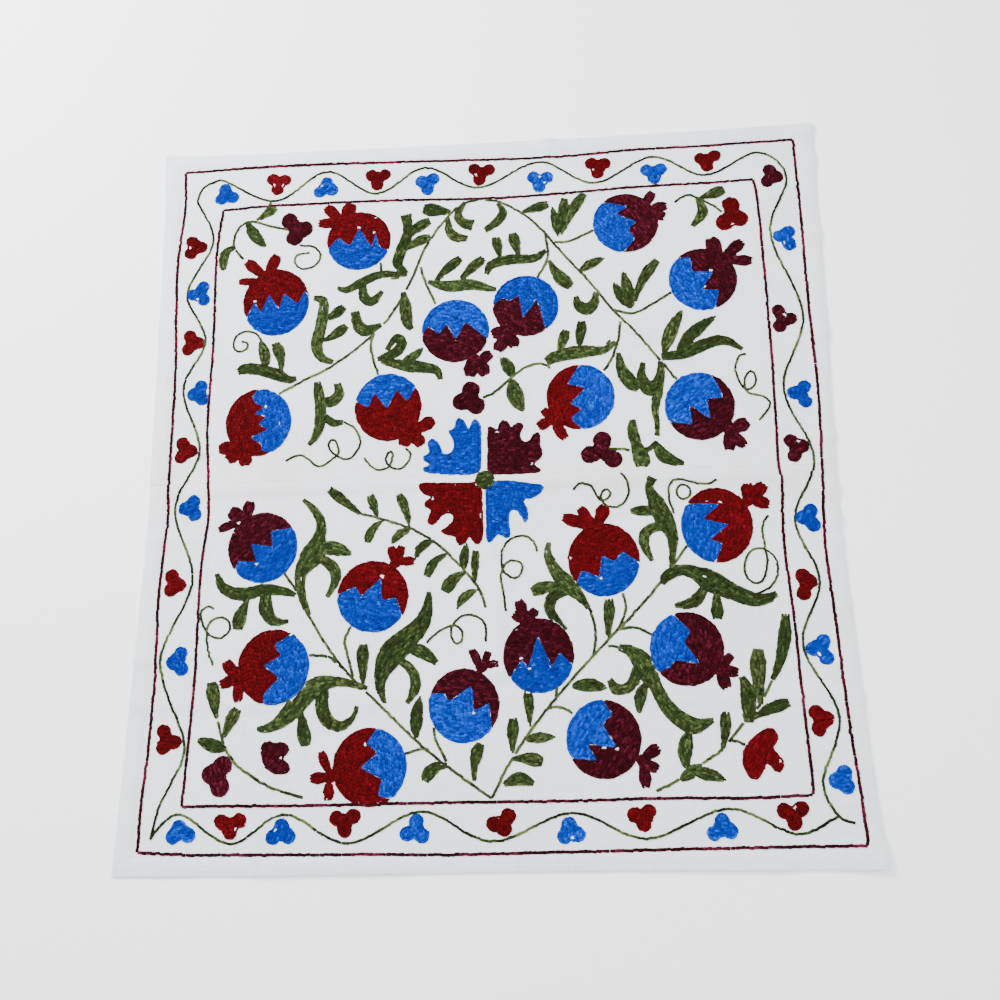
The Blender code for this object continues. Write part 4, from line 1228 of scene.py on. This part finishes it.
for points in BORDER_ROWS:
    lay("maroon", [smooth_path(points)], over=True, width=BORDER_WIDTH, tint=0.42, drift=0.4,
        length=BORDER_LINK)
for points in WAVY_STEM:
    lay("dark_green", [smooth_path(points)], over=True, width=WAVY_WIDTH, tint=0.42, drift=0.5,
        length=WAVY_LINK)
print("stitches in all:", {yarn: sum(map(len, worked[yarn])) for yarn in YARNS})

# %% [markdown]
# ## From stitches to meshes
#
# Each yarn on each panel becomes one mesh: the template is turned, stretched and set on the cloth
# for every stitch at once with arrays. Each stitch remembers its shade in an attribute, and a
# second attribute counts along the yarn, so that the finish can show its twist.

# %% Stamping
CM_PER_MM = 0.1
TWIST_PITCH = 0.11
SINK = 0.12
FACE_HEIGHT = 0.2


def as_seen(x, y):
    """Move places that were read on the floor to where they're seen on the face of the cloth."""
    nearer = FACE_HEIGHT / EYE[2]
    return x + (EYE[0] - x) * nearer, y + (EYE[1] - y) * nearer


def stamp(name, template, links, panel):
    """Copy the template onto the cloth for every stitch, as one mesh."""
    x, y, angle, length, width, height, tint = (links[:, column][:, None] for column in range(7))
    x, y = as_seen(x, y)
    forward = template.along * length
    sideways = (template.aside + template.lateral) * width * CM_PER_MM
    place_x = x + np.cos(angle) * forward - np.sin(angle) * sideways
    place_y = y + np.sin(angle) * forward + np.cos(angle) * sideways
    place_z = cloth_top(place_x, place_y) - SINK + template.height * height
    points = np.stack([place_x * CM, place_y * CM, place_z * MM], axis=-1).reshape(-1, 3)
    faces = (template.faces + (np.arange(len(links)) * len(template.along))[:, None, None]).reshape(-1)

    mesh = bpy.data.meshes.new(name)
    mesh.vertices.add(len(points))
    mesh.vertices.foreach_set("co", points.ravel())
    mesh.loops.add(len(faces))
    mesh.loops.foreach_set("vertex_index", faces)
    mesh.polygons.add(len(faces) // 3)
    mesh.polygons.foreach_set("loop_start", np.arange(0, len(faces), 3))
    mesh.update(calc_edges=True)
    mesh.shade_smooth()
    twist = forward / TWIST_PITCH + template.lateral * 0.7
    shade = np.broadcast_to(tint, twist.shape)
    for attribute, values in (("tint", shade), ("twist", twist)):
        layer = mesh.attributes.new(attribute, "FLOAT", "POINT")
        layer.data.foreach_set("value", np.ascontiguousarray(values, dtype=np.float32).ravel())
    piece = bpy.data.objects.new(name, mesh)
    bpy.context.scene.collection.objects.link(piece)
    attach(piece, "root")
    panel.append(piece)
    print(name, len(links), "stitches,", len(faces) // 3, "faces")
    return piece


upper_pieces, lower_pieces = [], []
yarn_pieces = {yarn: [] for yarn in YARNS}
for yarn in YARNS:
    links = np.vstack(worked[yarn])
    middle_y = links[:, 1] + 0.5 * links[:, 3] * np.sin(links[:, 2])
    above = middle_y > SEAM_Y
    yarn_pieces[yarn].append(stamp(f"{yarn}_stitches_upper", CHAIN, links[above], upper_pieces))
    yarn_pieces[yarn].append(stamp(f"{yarn}_stitches_lower", CHAIN, links[~above], lower_pieces))

# %% [markdown]
# Worked closely, the loops press together until no cotton shows between them. To get the same, a thin bed of
# each yarn lies under its stitches, in a darker shade of the yarn: partly the yarn that covers the cloth,
# partly painted shade for the gaps between the loops. It is read from the map: wherever a yarn was laid, less
# one square all round, in strips that follow the folds.

# %% The bed under the stitches
BED_HEIGHT = 0.12
# The bed's tint is darker than the stitches' middle shade: painted shade for the gaps between loops.
BED_SHADOW_TINT = 0.3
STRIP_ROWS = 2
STRIP_LONGEST = 10


def grown(mask, steps):
    """A mask grown by whole squares, or shrunk where the steps are negative."""
    for step in range(abs(steps)):
        around = [np.roll(mask, shift, axis) for shift, axis in ((1, 0), (-1, 0), (1, 1), (-1, 1))]
        mask = np.any([mask, *around], axis=0) if steps > 0 else np.all([mask, *around], axis=0)
    return mask


def add_bed(name, mask, panel):
    """Strips of yarn over every filled square of the map, as one mesh."""
    strips = np.logical_and.reduce([mask[offset::STRIP_ROWS] for offset in range(STRIP_ROWS)])
    corners = []
    for row, filled in enumerate(strips):
        marks = np.flatnonzero(np.diff(np.concatenate([[0], filled.astype(int), [0]])))
        for start, end in zip(marks[::2], marks[1::2]):
            cuts = [*range(start, end, STRIP_LONGEST), end]
            corners += [(a, b, row * STRIP_ROWS) for a, b in zip(cuts, cuts[1:])]
    low, high, row = np.array(corners).T
    x = np.column_stack([low, high, high, low]) * MAP_CELL - MAP_HALF
    y = np.column_stack([row, row, row + STRIP_ROWS, row + STRIP_ROWS]) * MAP_CELL - MAP_HALF
    x, y = as_seen(x, y)
    points = np.stack([x * CM, y * CM, (cloth_top(x, y) + BED_HEIGHT) * MM], axis=-1).reshape(-1, 3)
    faces = [tuple(range(4 * number, 4 * number + 4)) for number in range(len(low))]
    mesh = bpy.data.meshes.new(name)
    mesh.from_pydata(points.tolist(), [], faces)
    mesh.shade_smooth()
    shade = mesh.attributes.new("tint", "FLOAT", "POINT")
    # Painted shade: the whole bed takes the darker tint.
    shade.data.foreach_set("value", np.full(len(points), BED_SHADOW_TINT, dtype=np.float32))
    piece = bpy.data.objects.new(name, mesh)
    bpy.context.scene.collection.objects.link(piece)
    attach(piece, "root")
    panel.append(piece)
    print(name, len(faces), "strips")
    return piece


map_rows = np.arange(len(stitched)) * MAP_CELL - MAP_HALF
for number, yarn in enumerate(YARNS, 1):
    bed = grown(grown(stitched == number, 1), -2)
    for half, above, pieces in (("upper", True, upper_pieces), ("lower", False, lower_pieces)):
        part = bed & ((map_rows > SEAM_Y) == above)[:, None]
        if part.any():
            yarn_pieces[yarn].append(add_bed(f"{yarn}_bed_{half}", part, pieces))

# %% [markdown]
# ## Sewing
#
# The hem is caught down with small slip stitches of cotton thread, and the two panels are joined
# by stitches that wrap over the seam. Both are single strands, laid by the same stamp.

# %% Hem and seam stitches
HEM_STITCH = 0.28
HEM_STITCH_EVERY = 0.75
HEM_LINE = HEM_WIDTH - 0.12
SEAM_STITCH = 0.34
SEAM_STITCH_EVERY = 0.38


def thread_row(starts, angle, length):
    """Cotton stitches at the given places, all at about the same angle."""
    count = len(starts)
    spread = rng.normal(0.0, 1.0, (count, 4))
    return np.column_stack([
        starts + 0.03 * spread[:, :2],
        angle + 0.15 * spread[:, 2],
        length * (1.0 + 0.1 * spread[:, 3]),
        np.ones(count),
        np.ones(count),
        np.full(count, 0.5),
    ])


def hem_stitches(low, high):
    """Slip stitches along the inner side of the hem, for the part of the cloth between two heights."""
    rows = []
    up = np.arange(low, high, HEM_STITCH_EVERY)
    for edge, inward in ((LEFT_EDGE, 1.0), (RIGHT_EDGE, -1.0)):
        rows.append(thread_row(np.column_stack([follow(edge, up) + inward * HEM_LINE, up]), 1.2, HEM_STITCH))
    across = np.arange(-HALF_WIDTH + HEM_WIDTH, HALF_WIDTH - HEM_WIDTH, HEM_STITCH_EVERY)
    edge, inward = (TOP_EDGE, -1.0) if high > 0.0 else (BOTTOM_EDGE, 1.0)
    starts = np.column_stack([across, follow(edge, across) + inward * HEM_LINE])
    rows.append(thread_row(starts, 0.4, HEM_STITCH))
    return np.vstack(rows)


hem_threads = [
    stamp("hem_stitches_upper", THREAD, hem_stitches(0.4, HALF_HEIGHT - HEM_WIDTH), upper_pieces),
    stamp("hem_stitches_lower", THREAD, hem_stitches(HEM_WIDTH - HALF_HEIGHT, -0.8), lower_pieces),
]
along_seam = np.arange(-HALF_WIDTH + 0.9, HALF_WIDTH - 1.0, SEAM_STITCH_EVERY)
seam_starts = np.column_stack([along_seam, np.full(len(along_seam), SEAM_Y - 0.5 * SEAM_STITCH)])
seam_thread = stamp("seam_stitches", THREAD, thread_row(seam_starts, 1.35, SEAM_STITCH), lower_pieces)

# %% [markdown]
# ## Shader arithmetic
#
# A finish is arithmetic on patterns. This small class wraps a node's output, so that an expression
# such as 1 - mask adds the Math nodes by itself. Colours never pass through it: they are blended
# with Mix nodes.

# %% A class for shader arithmetic


class Number:
    """A number that changes over the surface, as a node's output."""

    def __init__(self, finish, socket):
        self.finish = finish
        self.socket = socket

    def math(self, operation, *values, clamp=False):
        settings = {"operation": operation, "use_clamp": clamp}
        node = self.finish.node("ShaderNodeMath", settings, dict(enumerate(values)))
        return Number(self.finish, node.outputs[0])

    def __add__(self, other):
        return self.math("ADD", self, other)

    __radd__ = __add__

    def __mul__(self, other):
        return self.math("MULTIPLY", self, other)

    __rmul__ = __mul__

    def __sub__(self, other):
        return self.math("SUBTRACT", self, other)

    def __rsub__(self, other):
        return self.math("SUBTRACT", other, self)

    def sine(self):
        return self.math("SINE", self)

    def between(self, low, high):
        """0 below low, 1 above high."""
        return self.math("MULTIPLY", self.math("SUBTRACT", self, low), 1.0 / (high - low), clamp=True)


def linear(red, green, blue):
    """A colour as it reads on a screen, 0 to 255, in the shader's own linear values."""
    return tuple(((part / 255 + 0.055) / 1.055) ** 2.4 for part in (red, green, blue)) + (1.0,)


class Finish:
    """One material, with short ways to add its nodes."""

    def __init__(self, name, roughness):
        self.material = bpy.data.materials.new(name)
        self.material.use_nodes = True
        self.tree = self.material.node_tree
        self.shader = self.tree.nodes["Principled BSDF"]
        self.set(self.shader.inputs["Roughness"], roughness)
        self.shader.inputs["Specular IOR Level"].default_value = 0.05

    def set(self, socket, value):
        """Link a socket to a node's output, or give it a plain value."""
        if isinstance(value, Number):
            value = value.socket
        if isinstance(value, bpy.types.NodeSocket):
            self.tree.links.new(value, socket)
        else:
            socket.default_value = value

    def node(self, kind, settings, sockets):
        """Any node: its settings first, then the values or links of its sockets."""
        made = self.tree.nodes.new(kind)
        for setting, value in settings.items():
            setattr(made, setting, value)
        for socket, value in sockets.items():
            self.set(made.inputs[socket], value)
        return made

    def attribute(self, name):
        made = self.node("ShaderNodeAttribute", {"attribute_name": name}, {})
        return Number(self, made.outputs["Fac"])

    def place(self, scale=(1.0, 1.0, 1.0), offset=(0.0, 0.0, 0.0)):
        """The point on the object in metres, stretched."""
        coordinates = self.node("ShaderNodeTexCoord", {}, {}).outputs["Object"]
        sockets = {"Vector": coordinates, "Scale": scale, "Location": offset}
        return self.node("ShaderNodeMapping", {}, sockets).outputs[0]

    def noise(self, vector, scale=1.0, detail=2.0, roughness=0.5):
        sockets = {"Vector": vector, "Scale": scale, "Detail": detail, "Roughness": roughness}
        return Number(self, self.node("ShaderNodeTexNoise", {}, sockets).outputs["Fac"])

    def blend(self, amount, low, high):
        """A colour between two colours."""
        made = self.node("ShaderNodeMix", {"data_type": "RGBA"}, {0: amount})
        self.set(made.inputs[6], low)
        self.set(made.inputs[7], high)
        return made.outputs[2]

    def bump(self, height, distance, strength=1.0, under=None):
        sockets = {"Height": height, "Distance": distance, "Strength": strength}
        if under is not None:
            sockets["Normal"] = under
        return self.node("ShaderNodeBump", {}, sockets).outputs[0]

    def spot(self, x, y, radius):
        """1 at a place on the cloth, fading to 0 at the radius, in centimetres."""
        sockets = {0: self.place(), 1: (x * CM, y * CM, 0.0)}
        away = self.node("ShaderNodeVectorMath", {"operation": "DISTANCE"}, sockets).outputs["Value"]
        return 1.0 - Number(self, away).between(0.0, radius * CM)


# %% [markdown]
# ## Cotton
#
# Home-woven cotton is off-white and never plain: thick and thin threads run both ways, the wash left cloudy
# patches, the strip beside the seam is a little warmer in tone in its cloudy patches, and the red yarn has
# bled in one place. Noise that is stretched along X and along Y gives the threads; their height also goes to
# a bump, a few times higher than such threads really stand.

# %% The cotton finish
COTTON_WHITE = linear(226, 228, 234)
COTTON_SHADE = linear(200, 203, 210)
COTTON_WARM = linear(224, 214, 200)
DYE_BLEED = linear(150, 30, 45)
SLUB = 0.00018
WEAVE = 0.00010


def cotton_finish():
    """Off-white cloth with uneven threads both ways."""
    finish = Finish("cotton_ground", 0.95)
    weft = finish.noise(finish.place((28.0, 620.0, 1.0)), detail=3.0)
    warp = finish.noise(finish.place((560.0, 24.0, 1.0), (3.0, 5.0, 0.0)), detail=3.0)
    fine = finish.noise(finish.place((900.0, 900.0, 1.0)), detail=1.0)
    clouds = finish.noise(finish.place((9.0, 9.0, 1.0)), detail=4.0, roughness=0.6)
    threads = 0.5 * weft + 0.5 * warp
    worn = threads.between(0.36, 0.62)
    colour = finish.blend(0.55 - 0.45 * worn + 0.5 * clouds.between(0.5, 0.8), COTTON_WHITE, COTTON_SHADE)
    height_on_cloth = finish.node("ShaderNodeSeparateXYZ", {}, {0: finish.place()}).outputs[1]
    away = Number(finish, height_on_cloth).math("ABSOLUTE", Number(finish, height_on_cloth))
    # A warmer tone within ten centimetres of the seam, in the cloudy patches.
    warm = (1.0 - away.between(0.0, 0.10)) * clouds.between(0.35, 0.65) * 0.35
    colour = finish.blend(warm, colour, COTTON_WARM)
    bleed = finish.spot(-37.0, 3.5, 1.1) * fine.between(0.3, 0.7) * 0.7
    colour = finish.blend(bleed, colour, DYE_BLEED)
    finish.set(finish.shader.inputs["Base Color"], colour)
    rough = finish.bump(threads, SLUB * 6.0)
    finish.set(finish.shader.inputs["Normal"], finish.bump(fine, WEAVE * 3.0, 0.7, rough))
    return finish.material


# %% [markdown]
# ## Yarn
#
# Each yarn has a dark, a middle and a light shade. Besides the yarn's own unevenness, the dark end serves
# partly as painted shade between the loops and the light end partly as painted highlight on them. The shade
# of a stitch comes from its own attribute, and a fine noise breaks it up along the fibres. The twist
# attribute counts turns along the yarn, so a sine of it draws the plies, as low relief.

# %% The yarn finishes
Yarn = namedtuple("Yarn", "dark middle light")
YARN_SHADES = {
    "blue": Yarn(linear(8, 28, 102), linear(3, 48, 146), linear(22, 92, 212)),
    "crimson": Yarn(linear(50, 2, 6), linear(78, 3, 7), linear(112, 14, 24)),
    "maroon": Yarn(linear(26, 2, 7), linear(50, 4, 12), linear(98, 26, 50)),
    "green": Yarn(linear(20, 30, 10), linear(42, 54, 25), linear(92, 108, 62)),
    "dark_green": Yarn(linear(14, 24, 8), linear(40, 54, 24), linear(88, 104, 56)),
}
PLY_HEIGHT = 0.00012


def yarn_finish(name, shades):
    """Twisted yarn, each stitch in its own shade."""
    finish = Finish(f"{name}_yarn", 0.85)
    fibres = finish.noise(finish.place((1.0, 1.0, 1.0)), scale=1600.0, detail=2.0)
    tint = finish.attribute("tint") + 0.35 * (fibres - 0.5)
    # Dark to light by each stitch's shade: the dark end is partly painted shade, the light end partly painted
    # highlight specks.
    colour = finish.blend(tint.between(0.0, 0.5), shades.dark, shades.middle)
    colour = finish.blend(tint.between(0.5, 1.0), colour, shades.light)
    finish.set(finish.shader.inputs["Base Color"], colour)
    plies = (finish.attribute("twist") * (2.0 * math.pi)).sine()
    finish.set(finish.shader.inputs["Normal"], finish.bump(0.7 * plies + fibres, PLY_HEIGHT, 0.8))
    return finish.material


cotton = cotton_finish()
for panel in (upper_cloth, lower_cloth, seam_thread, *hem_threads):
    panel.data.materials.append(cotton)
for name, shades in YARN_SHADES.items():
    yarn_material = yarn_finish(name, shades)
    for piece in yarn_pieces[name]:
        piece.data.materials.append(yarn_material)

# %% [markdown]
# ## Putting the panels in place of the solids
#
# Each fine panel stands for its imported solid, which is hidden, and lies on the floor as a sheet, with its
# stitches on it. The sheet's flat size is what the panel was cut to, hems included.

for panel, solid, pieces in (
    (upper_cloth, "panel_upper", upper_pieces),
    (lower_cloth, "panel_lower", lower_pieces),
):
    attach(panel, "root")
    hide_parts(solid)
